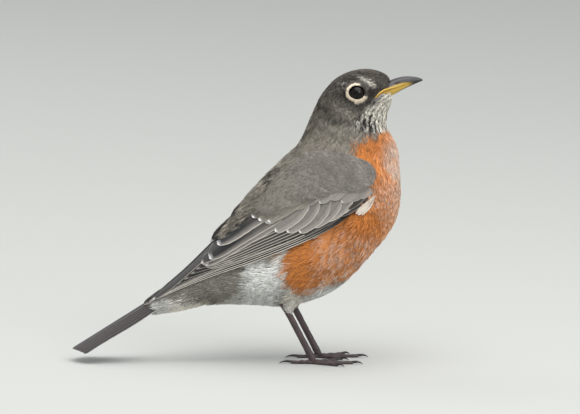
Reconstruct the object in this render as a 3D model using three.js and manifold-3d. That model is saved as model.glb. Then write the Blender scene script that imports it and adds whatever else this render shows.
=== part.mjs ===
// American robin (Turdus migratorius), standing alert: a still, life-size model.
//
// Millimetres. +X is the way the bird faces, +Y its left, +Z up. The origin is on the floor, below the
// middle of the bird's bounding box. Every piece is the outer form of the plumage, horn or skin there.

import * as THREE from "three";
import { mergeVertices } from "three/addons/utils/BufferGeometryUtils.js";
import Module from "manifold-3d";

const wasm = await Module();
wasm.setup();

// ---- Driving sizes ----------------------------------------------------------------------------------

const GAP = 0.3; // clearance between two neighbouring pieces
const BODY_SIDES = 24; // facets round the body
const BODY_STEP = 1 / 3; // body rings, in stations

// The body is a row of egg-shaped sections. Each runs from a point on the back to one on the belly, both
// [x, z], and has a half width.
const BODY = [
  { at: "bill root", back: [74.3, 147.6], belly: [74.8, 138.6], half: 4.4 },
  { at: "forehead", back: [70.6, 151.0], belly: [74.3, 134.9], half: 6.4 },
  { at: "eye", back: [62.8, 153.2], belly: [72.7, 130.2], half: 9.6 },
  { at: "crown", back: [53.5, 152.0], belly: [72.1, 126.0], half: 11.6 },
  { at: "hind crown", back: [45.2, 147.6], belly: [72.5, 121.3], half: 12.4 },
  { at: "nape", back: [38.7, 140.2], belly: [74.8, 117.6], half: 13.8 },
  { at: "neck", back: [34.0, 130.7], belly: [77.7, 112.4], half: 16.8 },
  { at: "mantle", back: [28.0, 117.1], belly: [79.4, 103.4], half: 21.5 },
  { at: "shoulder", back: [20.2, 105.5], belly: [77.9, 75.9], half: 26.0 },
  { at: "back", back: [11.9, 96.1], belly: [62.8, 54.1], half: 27.5 },
  { at: "flank", back: [2.5, 86.1], belly: [45.2, 37.5], half: 27.0 },
  { at: "rump", back: [-6.8, 73.5], belly: [22.8, 29.7], half: 23.5 },
  { at: "vent", back: [-15.7, 62.7], belly: [0.2, 30.5], half: 18.5 },
  { at: "tail coverts", back: [-26.6, 50.4], belly: [-19.3, 30.3], half: 13.0 },
  { at: "covert tips", back: [-37.3, 41.0], belly: [-31.8, 27.6], half: 9.0 },
  { at: "tail root", back: [-47.4, 34.0], belly: [-42.7, 26.0], half: 6.5 },
];
const EGG = 0.1; // how much fuller the belly side of a section is than its back side
const NAPE = 5;
const COLLAR = 7;
const LOINS = 11.5;
const TAIL_ROOT = 15;

// The folded right wing is a row of sections from the wrist to the tip of the longest primary.
const WING = [
  { top: [66.8, -20.2, 102.0], low: [66.2, -22.4, 92.5] },
  { top: [61.8, -21.4, 107.0], low: [63.8, -24.9, 87.2] },
  { top: [50.9, -21.6, 111.0], low: [57.1, -27.2, 77.8] },
  { top: [36.8, -17.2, 112.2], low: [48.3, -28.8, 73.0] },
  { top: [23.3, -10.2, 105.6], low: [36.3, -29.4, 65.4] },
  { top: [9.8, -5.5, 92.6], low: [22.3, -28.6, 60.1] },
  { top: [-3.7, -1.6, 79.0], low: [6.7, -25.4, 53.8] },
  { top: [-15.7, -1.0, 66.2], low: [-7.9, -21.0, 48.2] },
  { top: [-26.6, -1.0, 54.9], low: [-21.9, -15.4, 43.9] },
  { top: [-37.0, -1.0, 45.3], low: [-33.9, -10.8, 38.4] },
  { top: [-46.4, -1.2, 37.4], low: [-44.8, -8.4, 33.0] },
  { top: [-54.6, -2.8, 30.2], low: [-54.2, -5.6, 28.4] },
];
const WING_STEP = 0.5; // wing rings, in sections
const WING_SIDES = 9; // facets from the wing's top edge to its lower edge
const COVERTS_END = 5.5; // where the arm's coverts give way to the long flight feathers
const PRIMARIES_START = 8.5; // where only the primaries reach

const TAIL = { start: -40, end: -91.3, crestStart: 38.9, crestEnd: 6.6 };
const TAIL_HALF = { start: 6.6, end: 13.2 };
const TAIL_DROOP = { start: 5.6, end: 3.8 }; // how far the outer feathers lie below the middle ones
const TAIL_THICK = { start: 3.6, end: 1.0 };
const TAIL_CORNER = 4.6; // how much shorter the outermost feathers are

const EYE = { centre: [57.2, 7.5, 141.6], radius: 4.8 };

// The closed bill, from the gape to the tip: culmen, line where the halves meet, lower edge, half width.
const BILL = [
  { x: 67.0, culmen: 142.0, seam: 139.6, lower: 136.6, half: 6.9 },
  { x: 70.0, culmen: 144.6, seam: 141.0, lower: 137.2, half: 6.2 },
  { x: 73.0, culmen: 147.0, seam: 142.2, lower: 138.2, half: 5.0 },
  { x: 76.0, culmen: 148.1, seam: 143.2, lower: 139.7, half: 3.9 },
  { x: 80.0, culmen: 149.1, seam: 144.5, lower: 142.0, half: 2.9 },
  { x: 84.0, culmen: 149.4, seam: 145.7, lower: 144.0, half: 2.1 },
  { x: 88.0, culmen: 149.0, seam: 146.7, lower: 145.8, half: 1.3 },
  { x: 90.4, culmen: 148.2, seam: 147.2, lower: 146.8, half: 0.7 },
];
const BILL_TIP = [91.3, 147.3];

const STRIDE = 3.0; // how far the left foot stands ahead of the right
const LEG = {
  apart: 10.5, // of each foot from the middle
  heel: [19.0, 31.5],
  ankle: [34.0, 2.4],
  depth: 1.5, // half the shank's size from front to back
  width: 1.05, // half its size across
};
const THIGH = [
  { at: [28.5, 44.0], radius: 8.0 },
  { at: [24.8, 37.0], radius: 6.6 },
  { at: [22.0, 32.0], radius: 4.8 },
  { at: [21.6, 28.2], radius: 3.2 },
  { at: [23.0, 25.2], radius: 1.3 },
];
const TOES = [
  { name: "middle", length: 21, turn: -3, claw: 6.0 },
  { name: "inner", length: 14.5, turn: 33, claw: 5.2 },
  { name: "outer", length: 15.5, turn: -34, claw: 5.2 },
  { name: "hind", length: 11, turn: 176, claw: 7.6 },
];
const TOE_ROOT = 1.35; // toe radius at the foot
const TOE_END = 0.95; // toe radius at the claw
const SOLE = 0.62; // height of a toe's middle over the floor, in toe radii: the rest is the flat sole

// ---- Finishes ----------------------------------------------------------------------------------------

const finish = (colour, roughness) => new THREE.MeshStandardMaterial({ color: colour, roughness, metalness: 0 });
const slate = finish(0x6b6660, 0.9);
const greyBrown = finish(0x868179, 0.9);
const rust = finish(0xae6b36, 0.9);
const ashWhite = finish(0xb4b4ae, 0.9);
const wingGrey = finish(0x7d7872, 0.85);
const quillGrey = finish(0x5a5653, 0.8);
const horn = finish(0x4d4a4c, 0.35);
const yellowHorn = finish(0xb19d4f, 0.35);
const eyeBrown = finish(0x0d0908, 0.05);
const legBrown = finish(0x4a3f3c, 0.5);
const clawBlack = finish(0x221d1b, 0.35);

// ---- Shapes ------------------------------------------------------------------------------------------

// A smooth curve through points, read at a station number.
function through(points) {
  const curve = new THREE.CatmullRomCurve3(points, false, "catmullrom", 0.5);
  return (station) => curve.getPoint(station / (points.length - 1));
}

// A closed surface through rings of equally many points. Either end is shut by a fan, or on an arched
// plate, whose middle may lie outside it, by a strip from its upper edge to its lower one.
function loft(rings, arched = false) {
  const sides = rings[0].length;
  const points = rings.flat();
  const end = (rings.length - 1) * sides;
  const faces = [];
  for (let i = 0; i < sides; i += 1) {
    const next = (i + 1) % sides;
    for (let row = 0; row < end; row += sides) {
      faces.push(row + i, row + next, row + sides + i, row + next, row + sides + next, row + sides + i);
    }
  }
  if (arched) {
    for (let i = 0, j = sides - 1; i + 1 < j; i += 1, j -= 1) {
      faces.push(i + 1, i, j, i + 1, j, j - 1);
      faces.push(end + i, end + i + 1, end + j, end + j, end + i + 1, end + j - 1);
    }
    return facingOut(points, faces);
  }
  const middleOf = (ring) =>
    ring.reduce((sum, p) => sum.add(p), new THREE.Vector3()).divideScalar(sides);
  points.push(middleOf(rings[0]), middleOf(rings.at(-1)));
  const [first, last] = [points.length - 2, points.length - 1];
  for (let i = 0; i < sides; i += 1) {
    const next = (i + 1) % sides;
    faces.push(first, next, i, last, end + i, end + next);
  }
  return facingOut(points, faces);
}

// The geometry of these faces, turned round if they face inwards.
function facingOut(points, faces) {
  let volume = 0;
  for (let i = 0; i < faces.length; i += 3) {
    const [a, b, c] = [0, 1, 2].map((k) => points[faces[i + k]]);
    volume += a.dot(b.clone().cross(c));
  }
  if (volume < 0) faces.reverse();
  return new THREE.BufferGeometry().setFromPoints(points).setIndex(faces);
}

function solid(geometry) {
  const bare = new THREE.BufferGeometry().setIndex(geometry.index);
  bare.setAttribute("position", geometry.getAttribute("position"));
  const merged = mergeVertices(bare, 1e-4);
  return new wasm.Manifold(
    new wasm.Mesh({
      numProp: 3,
      vertProperties: merged.getAttribute("position").array,
      triVerts: new Uint32Array(merged.index.array),
    }),
  );
}

function geometryOf(body) {
  const mesh = body.getMesh();
  return new THREE.BufferGeometry()
    .setAttribute("position", new THREE.BufferAttribute(mesh.vertProperties, 3))
    .setIndex(new THREE.BufferAttribute(mesh.triVerts, 1));
}

// What is left of a geometry once the others are cut from it: the largest piece.
function cut(geometry, ...cutters) {
  const left = cutters.reduce((body, cutter) => body.subtract(solid(cutter)), solid(geometry));
  const pieces = left.decompose().sort((a, b) => b.volume() - a.volume());
  return geometryOf(pieces[0]);
}

// The same geometry on the other side of the bird's middle plane.
const mirrored = (geometry) => {
  const copy = geometry.clone().scale(1, -1, 1);
  copy.index.array.reverse();
  return copy;
};

const steps = (from, to, step) => {
  const count = Math.max(1, Math.round(Math.abs(to - from) / step));
  return Array.from({ length: count + 1 }, (_, i) => from + ((to - from) * i) / count);
};

// ---- Body --------------------------------------------------------------------------------------------

const backLine = through(BODY.map((s) => new THREE.Vector3(s.back[0], 0, s.back[1])));
const bellyLine = through(BODY.map((s) => new THREE.Vector3(s.belly[0], 0, s.belly[1])));
const halfWidth = through(BODY.map((s) => new THREE.Vector3(s.half, 0, 0)));

// One ring of the body at a station, grown by some millimetres.
function bodyRing(station, grow = 0, sides = BODY_SIDES) {
  const back = backLine(station);
  const belly = bellyLine(station);
  const middle = back.clone().add(belly).divideScalar(2);
  const radius = back.clone().sub(middle);
  radius.setLength(radius.length() + grow);
  const half = halfWidth(station).x + grow;
  return Array.from({ length: sides }, (_, i) => {
    const angle = (i / sides) * 2 * Math.PI;
    const p = middle.clone().addScaledVector(radius, Math.cos(angle));
    p.y = half * Math.sin(angle) * (1 - EGG * Math.cos(angle));
    return p;
  });
}

// The body between two stations. The front end gives way by the gap, so that neighbours don't touch.
function bodyLength(from, to) {
  const rings = steps(from, to, BODY_STEP).map((station) => bodyRing(station));
  if (from > 0) {
    const behind = bodyRing(from + BODY_STEP);
    rings[0] = rings[0].map((p, i) => p.clone().lerp(behind[i], GAP / p.distanceTo(behind[i])));
  }
  return loft(rings);
}

// The room that the body takes from the pieces that lie against it, in coarser facets.
function bodyRoom() {
  return loft(steps(4, TAIL_ROOT, 0.5).map((station) => bodyRing(station, GAP + 0.4, 20)));
}

// ---- Bill --------------------------------------------------------------------------------------------

// Half of the bill: sections from the seam to the culmen or to the lower edge, grown by some millimetres.
function billHalf(edge, grow = 0) {
  const way = edge === "culmen" ? 1 : -1;
  const sides = 10;
  const section = (x, seam, rim, half) =>
    Array.from({ length: sides }, (_, i) => {
      const angle = (i / (sides - 1)) * Math.PI;
      return new THREE.Vector3(
        x,
        (half + grow) * Math.cos(angle),
        seam + way * (GAP / 2 - grow) + (rim + way * grow - seam - way * (GAP / 2 - grow)) * Math.sin(angle),
      );
    });
  const rings = BILL.map((s) => section(s.x - (s === BILL[0] ? grow : 0), s.seam, s[edge], s.half));
  const [tipX, tipZ] = BILL_TIP;
  const tipShort = edge === "culmen" ? 0 : 0.7;
  rings.push(section(tipX - tipShort, tipZ - 0.1, tipZ + way * 0.45, 0.25));
  return loft(rings);
}

// ---- Eye ---------------------------------------------------------------------------------------------

function eyeball(radius) {
  return new THREE.SphereGeometry(radius, 14, 10)
    .rotateX(Math.PI / 2)
    .translate(EYE.centre[0], EYE.centre[1], EYE.centre[2]);
}

// ---- Wing --------------------------------------------------------------------------------------------

const wingTop = through(WING.map((s) => new THREE.Vector3(...s.top)));
const wingLow = through(WING.map((s) => new THREE.Vector3(...s.low)));

// A section of the folded wing: a quarter of an ellipse over its outside, closed through the body.
function wingRing(station) {
  const top = wingTop(station);
  const low = wingLow(station);
  const ring = Array.from({ length: WING_SIDES + 1 }, (_, i) => {
    const angle = (i / WING_SIDES) * (Math.PI / 2);
    const p = top.clone().lerp(low, 1 - Math.cos(angle));
    p.y = THREE.MathUtils.lerp(top.y, low.y, Math.sin(angle));
    return p;
  });
  const inside = top.clone().lerp(low, 0.5);
  inside.y = Math.min(top.y + 9, -1);
  ring.push(inside);
  return ring;
}

function wingLength(from, to) {
  return loft(steps(from, to, WING_STEP).map(wingRing));
}

// ---- Tail --------------------------------------------------------------------------------------------

// The closed tail: an arched plate that widens to its end, grown by some millimetres.
function tailFan(grow = 0) {
  const sides = 6;
  const beyond = grow / (TAIL.start - TAIL.end);
  const rings = steps(-beyond, 1 + beyond, 0.125).map((along) => {
    const at = (range) => THREE.MathUtils.lerp(range.start, range.end, along);
    const point = (across, depth) => {
      const short = along ** 6 * TAIL_CORNER * across ** 2;
      const y = across * (at(TAIL_HALF) + grow);
      const x = THREE.MathUtils.lerp(TAIL.start, TAIL.end, along) + short;
      const slope = (TAIL.crestStart - TAIL.crestEnd) / (TAIL.start - TAIL.end);
      const crest = TAIL.crestEnd + (x - TAIL.end) * slope;
      return new THREE.Vector3(x, y, crest - at(TAIL_DROOP) * (y / at(TAIL_HALF)) ** 2 + grow - depth);
    };
    const thick = (across) => at(TAIL_THICK) * (1 - 0.4 * Math.abs(across) ** 8) + 2 * grow;
    const over = steps(-1, 1, 2 / sides).map((across) => point(across, 0));
    const under = steps(1, -1, 2 / sides).map((across) => point(across, thick(across)));
    return [...over, ...under];
  });
  return loft(rings, true);
}

// ---- Legs --------------------------------------------------------------------------------------------

// A round limb along a path, with a radius upwards and one across at each point. Nothing goes below
// the floor, so what would is flattened there.
function limb(path, radii, sides = 8, rings = 6) {
  const line = through(path);
  const size = through(radii.map(([up, across]) => new THREE.Vector3(up, across, 0)));
  const last = path.length - 1;
  const delta = 0.02;
  return loft(
    steps(0, last, last / rings).map((station) => {
      const centre = line(station);
      const ahead = line(Math.min(last, station + delta)).sub(line(Math.max(0, station - delta))).normalize();
      const across = new THREE.Vector3().crossVectors(ahead, new THREE.Vector3(0, 0, 1)).normalize();
      const up = new THREE.Vector3().crossVectors(across, ahead);
      const radius = size(station);
      return Array.from({ length: sides }, (_, i) => {
        const angle = (i / sides) * 2 * Math.PI;
        const p = centre
          .clone()
          .addScaledVector(up, radius.x * Math.cos(angle))
          .addScaledVector(across, radius.y * Math.sin(angle));
        p.z = Math.max(0, p.z);
        return p;
      });
    }),
  );
}

function shank(forward, grow = 0) {
  const [heelX, heelZ] = LEG.heel;
  const [ankleX, ankleZ] = LEG.ankle;
  const y = -LEG.apart;
  const at = (share, lift = 0) =>
    new THREE.Vector3(
      forward + THREE.MathUtils.lerp(heelX, ankleX, share),
      y,
      THREE.MathUtils.lerp(heelZ, ankleZ, share) + lift,
    );
  const sizes = [
    [1.6, 1.3],
    [2.1, 1.6],
    [LEG.depth, LEG.width],
    [LEG.depth, LEG.width],
    [1.75, 1.5],
    [1.9, 1.7],
  ].map(([up, across]) => [up + grow, across + grow]);
  const path = [at(-0.1), at(0), at(0.16), at(0.8), at(0.95), at(1.04)];
  return limb(path, sizes, 10, 10);
}

function thigh(forward) {
  const path = THIGH.map((s) => new THREE.Vector3(s.at[0] + forward, -LEG.apart, s.at[1]));
  return limb(path, THIGH.map((s) => [s.radius, s.radius * 0.8]), 10, 6);
}

// A point on the floor plan of a foot: so far from its ankle, at a turn from straight ahead.
function onFoot(forward, turn, distance, height) {
  const angle = THREE.MathUtils.degToRad(turn);
  return new THREE.Vector3(
    forward + LEG.ankle[0] + distance * Math.cos(angle),
    -LEG.apart + distance * Math.sin(angle),
    height,
  );
}

// A toe lies flat on the floor along its pads.
function toe({ length, turn }, forward, grow = 0) {
  const shares = [0, 0.25, 0.5, 0.75, 1];
  const radius = (share) => THREE.MathUtils.lerp(TOE_ROOT, TOE_END, share) + grow;
  const reach = (share) => THREE.MathUtils.lerp(1, length, share);
  const path = shares.map((s) => onFoot(forward, turn, reach(s), SOLE * (radius(s) - grow)));
  return limb(path, shares.map((s) => [radius(s), radius(s)]), 8, 4);
}

// A claw leaves the toe's end, arches and comes down to the floor.
function claw({ length, turn, claw: size }, forward) {
  const reach = [0, 0.35, 0.7, 1].map((s) => length + GAP + s * size * 0.85);
  const heights = [0.75, 1.15, 0.95, 0.16];
  const radii = [0.72, 0.6, 0.42, 0.13];
  const path = reach.map((r, i) => onFoot(forward, turn, r, heights[i]));
  return limb(path, radii.map((r) => [r, r * 0.85]), 6, 5);
}

// ---- The bird ----------------------------------------------------------------------------------------

const robin = new THREE.Group();

function add(name, geometry, material) {
  const mesh = new THREE.Mesh(geometry, material);
  mesh.name = name;
  robin.add(mesh);
}

const room = bodyRoom();

function addHead() {
  const sockets = [eyeball(EYE.radius + GAP), mirrored(eyeball(EYE.radius + GAP))];
  const billRoom = [billHalf("culmen", GAP), billHalf("lower", GAP)];
  add("head", cut(bodyLength(0, NAPE), ...billRoom, ...sockets), slate);
  add("bill_upper", billHalf("culmen"), horn);
  add("bill_lower", billHalf("lower"), yellowHorn);
  add("eye_left", eyeball(EYE.radius), eyeBrown);
  add("eye_right", mirrored(eyeball(EYE.radius)), eyeBrown);
}

function addBody() {
  add("neck", bodyLength(NAPE, COLLAR), greyBrown);
  add("trunk", bodyLength(COLLAR, LOINS), rust);
  add("rump_and_vent", cut(bodyLength(LOINS, TAIL_ROOT), tailFan(GAP)), ashWhite);
  add("tail", tailFan(), quillGrey);
}

function addWings() {
  const lengths = [
    ["coverts", 0, COVERTS_END, wingGrey],
    ["flight_feathers", COVERTS_END, PRIMARIES_START, wingGrey],
    ["primary_tips", PRIMARIES_START, WING.length - 1, quillGrey],
  ];
  for (const [name, from, to, material] of lengths) {
    const start = from === 0 ? 0 : from + 0.03;
    const piece = cut(wingLength(start, to), room, tailFan(GAP));
    add("wing_right_" + name, piece, material);
    add("wing_left_" + name, mirrored(piece), material);
  }
}

function addLeg(side, forward) {
  const place = side === "right" ? (geometry) => geometry : mirrored;
  const shankRoom = shank(forward, GAP);
  add("thigh_" + side, place(cut(thigh(forward), room, shankRoom)), ashWhite);
  add("shank_" + side, place(cut(shank(forward), room)), legBrown);
  const middle = toe(TOES[0], forward, GAP);
  for (const t of TOES) {
    const cutters = t.name === "middle" ? [shankRoom] : [shankRoom, middle];
    add(`toe_${side}_${t.name}`, place(cut(toe(t, forward), ...cutters)), legBrown);
    add(`claw_${side}_${t.name}`, place(claw(t, forward)), clawBlack);
  }
}

addHead();
addBody();
addWings();
addLeg("right", 0);
addLeg("left", STRIDE);

export default robin;
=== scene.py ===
"""American robin, standing alert, dressed in skin, contour feathers, quills, horn and scales.

Shapes are worked out in millimetres in the part's frame: +X ahead, +Y to the bird's left, +Z up.
A place on the body is (station, angle): stations run from the bill's root to the tail's root, and the
angle from the back (0) over the right side to the belly (pi). The left side has negative angles.
"""

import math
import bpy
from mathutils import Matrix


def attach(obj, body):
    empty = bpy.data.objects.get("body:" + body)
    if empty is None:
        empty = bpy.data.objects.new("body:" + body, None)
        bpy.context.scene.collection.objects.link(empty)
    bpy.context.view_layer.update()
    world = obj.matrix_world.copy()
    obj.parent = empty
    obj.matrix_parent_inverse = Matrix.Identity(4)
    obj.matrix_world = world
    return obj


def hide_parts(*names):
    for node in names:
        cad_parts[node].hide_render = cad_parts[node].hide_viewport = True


bl_info = {
    "name": "American robin",
    "version": (1, 0, 0),
    "blender": (4, 5, 0),
    "location": "View3D > Sidebar > Robin",
    "description": "Builds the plumage, skin, eyes, bill and legs of a standing robin",
    "category": "Add Mesh",
}

import bpy
import numpy as np
from bpy.props import FloatProperty, FloatVectorProperty, IntProperty, PointerProperty

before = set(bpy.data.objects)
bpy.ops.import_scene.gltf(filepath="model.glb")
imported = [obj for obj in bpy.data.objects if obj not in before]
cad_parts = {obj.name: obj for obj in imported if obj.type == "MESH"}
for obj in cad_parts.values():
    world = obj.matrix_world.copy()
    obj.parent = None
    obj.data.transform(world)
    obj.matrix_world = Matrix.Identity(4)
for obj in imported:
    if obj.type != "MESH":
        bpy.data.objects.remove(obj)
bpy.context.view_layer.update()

MM = 0.001
SIDES = {"right": False, "left": True}  # each side, and whether it is the mirror image
TOES = ("middle", "inner", "outer", "hind")
VIEW_TILT = math.radians(8)  # how far above level the side view looks
TAU = 2 * math.pi

# ---- Form, in millimetres ----

# The body's egg-shaped sections: back x and z, belly x and z, half width.
BODY = np.array(
    [
        (74.3, 147.6, 74.8, 138.6, 4.4),
        (70.6, 151.0, 74.3, 134.9, 6.4),
        (62.8, 153.2, 72.7, 130.2, 9.6),
        (53.5, 152.0, 72.1, 126.0, 11.6),
        (45.2, 147.6, 72.5, 121.3, 12.4),
        (38.7, 140.2, 74.8, 117.6, 13.8),
        (34.0, 130.7, 77.7, 112.4, 16.8),
        (28.0, 117.1, 79.4, 103.4, 21.5),
        (20.2, 105.5, 77.9, 75.9, 26.0),
        (11.9, 96.1, 62.8, 54.1, 27.5),
        (2.5, 86.1, 45.2, 37.5, 27.0),
        (-6.8, 73.5, 22.8, 29.7, 23.5),
        (-15.7, 62.7, 0.2, 30.5, 18.5),
        (-26.6, 50.4, -19.3, 30.3, 13.0),
        (-37.3, 41.0, -31.8, 27.6, 9.0),
        (-47.4, 34.0, -42.7, 26.0, 6.5),
    ]
)
EGG = 0.1  # the share by which a section is wider below and narrower above
TAIL_ROOT = len(BODY) - 1
# Depth of the coat over the skin at each section.
COAT_DEPTH = (0.5, 0.6, 0.8, 1.0, 1.2, 1.5, 1.8, 2.2, 2.4, 2.4, 2.4, 2.4, 2.3, 2.0, 1.6, 1.2)

# The folded right wing's sections: upper edge x, y, z and lower edge x, y, z.
WING = np.array(
    [
        (66.8, -20.2, 102.0, 66.2, -22.4, 92.5),
        (61.8, -21.4, 107.0, 63.8, -24.9, 87.2),
        (50.9, -21.6, 111.0, 57.1, -27.2, 77.8),
        (36.8, -17.2, 112.2, 48.3, -28.8, 73.0),
        (23.3, -10.2, 105.6, 36.3, -29.4, 65.4),
        (9.8, -5.5, 92.6, 22.3, -28.6, 60.1),
        (-3.7, -1.6, 79.0, 6.7, -25.4, 53.8),
        (-15.7, -1.0, 66.2, -7.9, -21.0, 48.2),
        (-26.6, -1.0, 54.9, -21.9, -15.4, 43.9),
        (-37.0, -1.0, 45.3, -33.9, -10.8, 38.4),
        (-46.4, -1.2, 37.4, -44.8, -8.4, 33.0),
        (-54.6, -2.8, 30.2, -54.2, -5.6, 28.4),
    ]
)

# The thigh's line down to the heel: x, z and radius.
THIGH = np.array(
    [(28.5, 44.0, 8.0), (24.8, 37.0, 6.6), (22.0, 32.0, 4.8), (21.6, 28.2, 3.2), (23.0, 25.2, 1.3)]
)
LEG_APART = 10.5  # from the body's middle plane to each leg
STRIDE = {"right": 0.0, "left": 3.0}  # how far ahead each leg stands
# The shank's two ends: x, z.
HEEL = (19.0, 31.5)
ANKLE = (34.0, 2.4)
# Toes: length, turn from straight ahead towards the other leg in degrees, and reach of the claw.
TOE_SHAPE = {
    "middle": (21, -3, 6.0),
    "inner": (14.5, 33, 5.2),
    "outer": (15.5, -34, 5.2),
    "hind": (11, 176, 7.6),
}
TOE_ROOT, TOE_END = 1.35, 0.95  # a toe's radius at either end
SOLE = 0.62  # height of a toe's line, as a share of its radius

EYE = np.array((57.2, -7.5, 141.6))  # middle of the right eyeball
EYE_RADIUS = 4.8
EYE_OPENING = (3.95, 3.2)  # half width and half height between the lids
LID_MIDDLE = EYE + (-0.3, -3.7, 0.8)

# The bill: x, culmen, seam, lower edge, half width.
BILL = np.array(
    [
        (67.0, 141.4, 139.2, 136.9, 7.2),
        (70.0, 144.0, 140.8, 137.6, 6.5),
        (73.0, 146.5, 142.2, 138.7, 5.1),
        (76.0, 148.0, 143.2, 139.8, 3.9),
        (80.0, 149.1, 144.5, 142.0, 2.9),
        (84.0, 149.4, 145.7, 144.0, 2.1),
        (88.0, 149.0, 146.7, 145.8, 1.3),
        (90.4, 148.2, 147.2, 146.8, 0.7),
        (91.2, 147.6, 147.3, 147.1, 0.2),
    ]
)

# The soft yellow corner of the mouth as (ahead, height) in the side view, from its back end forwards.
GAPE = np.array([(66.4, 136.6), (68.6, 138.8), (70.9, 140.3), (73.6, 141.3), (76.6, 142.2)])

# The closed tail: x of its two ends, and at each the height of its crest, its half width and how far its
# edges droop.
TAIL_START, TAIL_END = -40.0, -91.3
TAIL_CREST = (38.9, 6.6)
TAIL_HALF = (6.6, 13.2)
TAIL_DROOP = (5.6, 3.8)
TAIL_CORNER = 4.6  # how far its outer corners are cut back

# ---- Markings: places as (ahead, height) in the side view, mm ----

RUST_EDGE = [
    (55.4, 112.1), (61.8, 114.4), (67.9, 115.3), (72.0, 119.1), (84.7, 121.2), (90, 84), (79.5, 57.7),
    (61.8, 47.4), (53.5, 44.6), (47.2, 42.7), (40.5, 40.6), (33.2, 37.0), (25.9, 36.2), (20.7, 38.0),
    (17.6, 43.2), (14.5, 50.4), (17.7, 62.9), (32.7, 77.9), (50.9, 90.9), (53.5, 101.9),
]
WHITE_VENT_EDGE = [
    (-5.7, 42.2), (1.5, 47.4), (7.7, 49.4), (15.5, 50.4), (18.6, 42.1), (21.2, 36.9), (25.9, 35.9),
    (33.2, 36.9), (40.5, 40.0), (53.5, 44.2), (66.9, 50.5), (61.8, 20.5), (27.5, 15.3), (-13.7, 20.5),
    (-8.8, 31.8),
]
GREY_EDGE = [
    (-45, 37), (-26, 43.5), (-10, 49.5), (14.5, 55.5), (9, 49.5), (-1, 43.5), (-4, 36), (-12, 31.5),
    (-20, 29.5), (-30, 31.5), (-44, 32.5),
]
THROAT_EDGE = [
    (66.0, 137.9), (76, 139.5), (82.8, 130.5), (76.5, 121.2), (71.2, 117.6), (64.9, 117.0), (57.6, 118.2),
    (54.0, 120.6), (56.6, 124.3), (60.8, 129.5), (63.9, 134.2),
]

# ---- Small helpers ----


def linear(red, green, blue):
    """A colour picked on the usual 0 to 255 display scale, as the linear light that shaders use."""
    c = np.array((red, green, blue)) / 255
    return np.where(c <= 0.04045, c / 12.92, ((c + 0.055) / 1.055) ** 2.4)


def smooth(value, low, high):
    """0 below low, 1 above high, and between them the cubic 3f^2 - 2f^3."""
    f = np.clip((value - low) / (high - low), 0, 1)
    return f * f * (3 - 2 * f)


def blend(a, b, share):
    """From colour a to colour b by a share given for each point."""
    return a + (b - a) * np.asarray(share)[..., None]


def unit(vectors):
    """Vectors brought to length 1."""
    return vectors / np.maximum(np.linalg.norm(vectors, axis=-1, keepdims=True), 1e-9)


def through(rows, stations):
    """Uniform Catmull-Rom curve through rows, read at station numbers: a cubic between two rows, whose
    slope at a row is half the difference of its neighbours. It runs straight on beyond either end."""
    rows = np.asarray(rows, float)
    p = np.vstack([2 * rows[0] - rows[1], rows, 2 * rows[-1] - rows[-2]])
    stations = np.asarray(stations, float)
    inside = np.clip(stations, 0, len(rows) - 1)
    i = np.minimum(inside.astype(int), len(rows) - 2)
    f = (inside - i)[..., None]
    a, b, c, d = p[i], p[i + 1], p[i + 2], p[i + 3]
    curve = 0.5 * (2 * b + (c - a) * f + (2 * a - 5 * b + 4 * c - d) * f**2 + (3 * b - a - 3 * c + d) * f**3)
    before = np.minimum(stations, 0)[..., None] * (rows[1] - rows[0])
    after = np.maximum(stations - len(rows) + 1, 0)[..., None] * (rows[-1] - rows[-2])
    return curve + before + after


def frames(surface, a, b):
    """Points, outward normals and both tangents of a surface at (a, b), by central differences."""
    step = 1e-3
    along = (surface(a + step, b) - surface(a - step, b)) / (2 * step)
    across = (surface(a, b + step) - surface(a, b - step)) / (2 * step)
    return surface(a, b), unit(np.cross(along, across)), along, across


def side_view(points):
    """How far ahead a point is and how high it looks from its own side, a little above level."""
    out = np.abs(points[..., 1])
    return points[..., 0], points[..., 2] * math.cos(VIEW_TILT) - out * math.sin(VIEW_TILT)


def true_height(h, y):
    """The height z of a point of the right side, at y, that looks h high in the side view."""
    return (h - y * math.sin(VIEW_TILT)) / math.cos(VIEW_TILT)


def depth_inside(x, h, edge):
    """Signed distance of places into a closed outline: the distance to its nearest side, positive inside,
    where the number of sides crossed by a level ray is odd."""
    start = np.asarray(edge, float)
    end = np.roll(start, -1, axis=0)
    x, h = x[..., None], h[..., None]
    way = end - start
    f = np.clip(((x - start[:, 0]) * way[:, 0] + (h - start[:, 1]) * way[:, 1]) / (way**2).sum(1), 0, 1)
    near = np.hypot(x - start[:, 0] - f * way[:, 0], h - start[:, 1] - f * way[:, 1]).min(-1)
    spans = (start[:, 1] > h) != (end[:, 1] > h)
    rise = np.where(way[:, 1] == 0, 1e-9, way[:, 1])
    crossings = (spans & (x < start[:, 0] + (h - start[:, 1]) * way[:, 0] / rise)).sum(-1)
    return np.where(crossings % 2 == 1, near, -near)


def spot(x, h, middle, size, turn=0.0, edge=0.35):
    """1 inside an ellipse about middle with half sizes and a turn in degrees, fading over its edge."""
    c, s = math.cos(math.radians(turn)), math.sin(math.radians(turn))
    u = ((x - middle[0]) * c + (h - middle[1]) * s) / size[0]
    v = ((h - middle[1]) * c - (x - middle[0]) * s) / size[1]
    return 1 - smooth(np.hypot(u, v), 1 - edge, 1 + edge)


def ripple(points, size, seed=0):
    """Smooth noise from about -1 to 1: a sum of sines along six turned directions, with features of
    about the given size."""
    rng = np.random.default_rng(seed)
    total = np.zeros(points.shape[:-1])
    for direction in unit(rng.normal(size=(6, 3))):
        total += np.sin(points @ direction * (TAU / size) * rng.uniform(0.7, 1.4) + rng.uniform(0, TAU))
    return total / 3.2


# ---- Surfaces that feathers lie on ----


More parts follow.
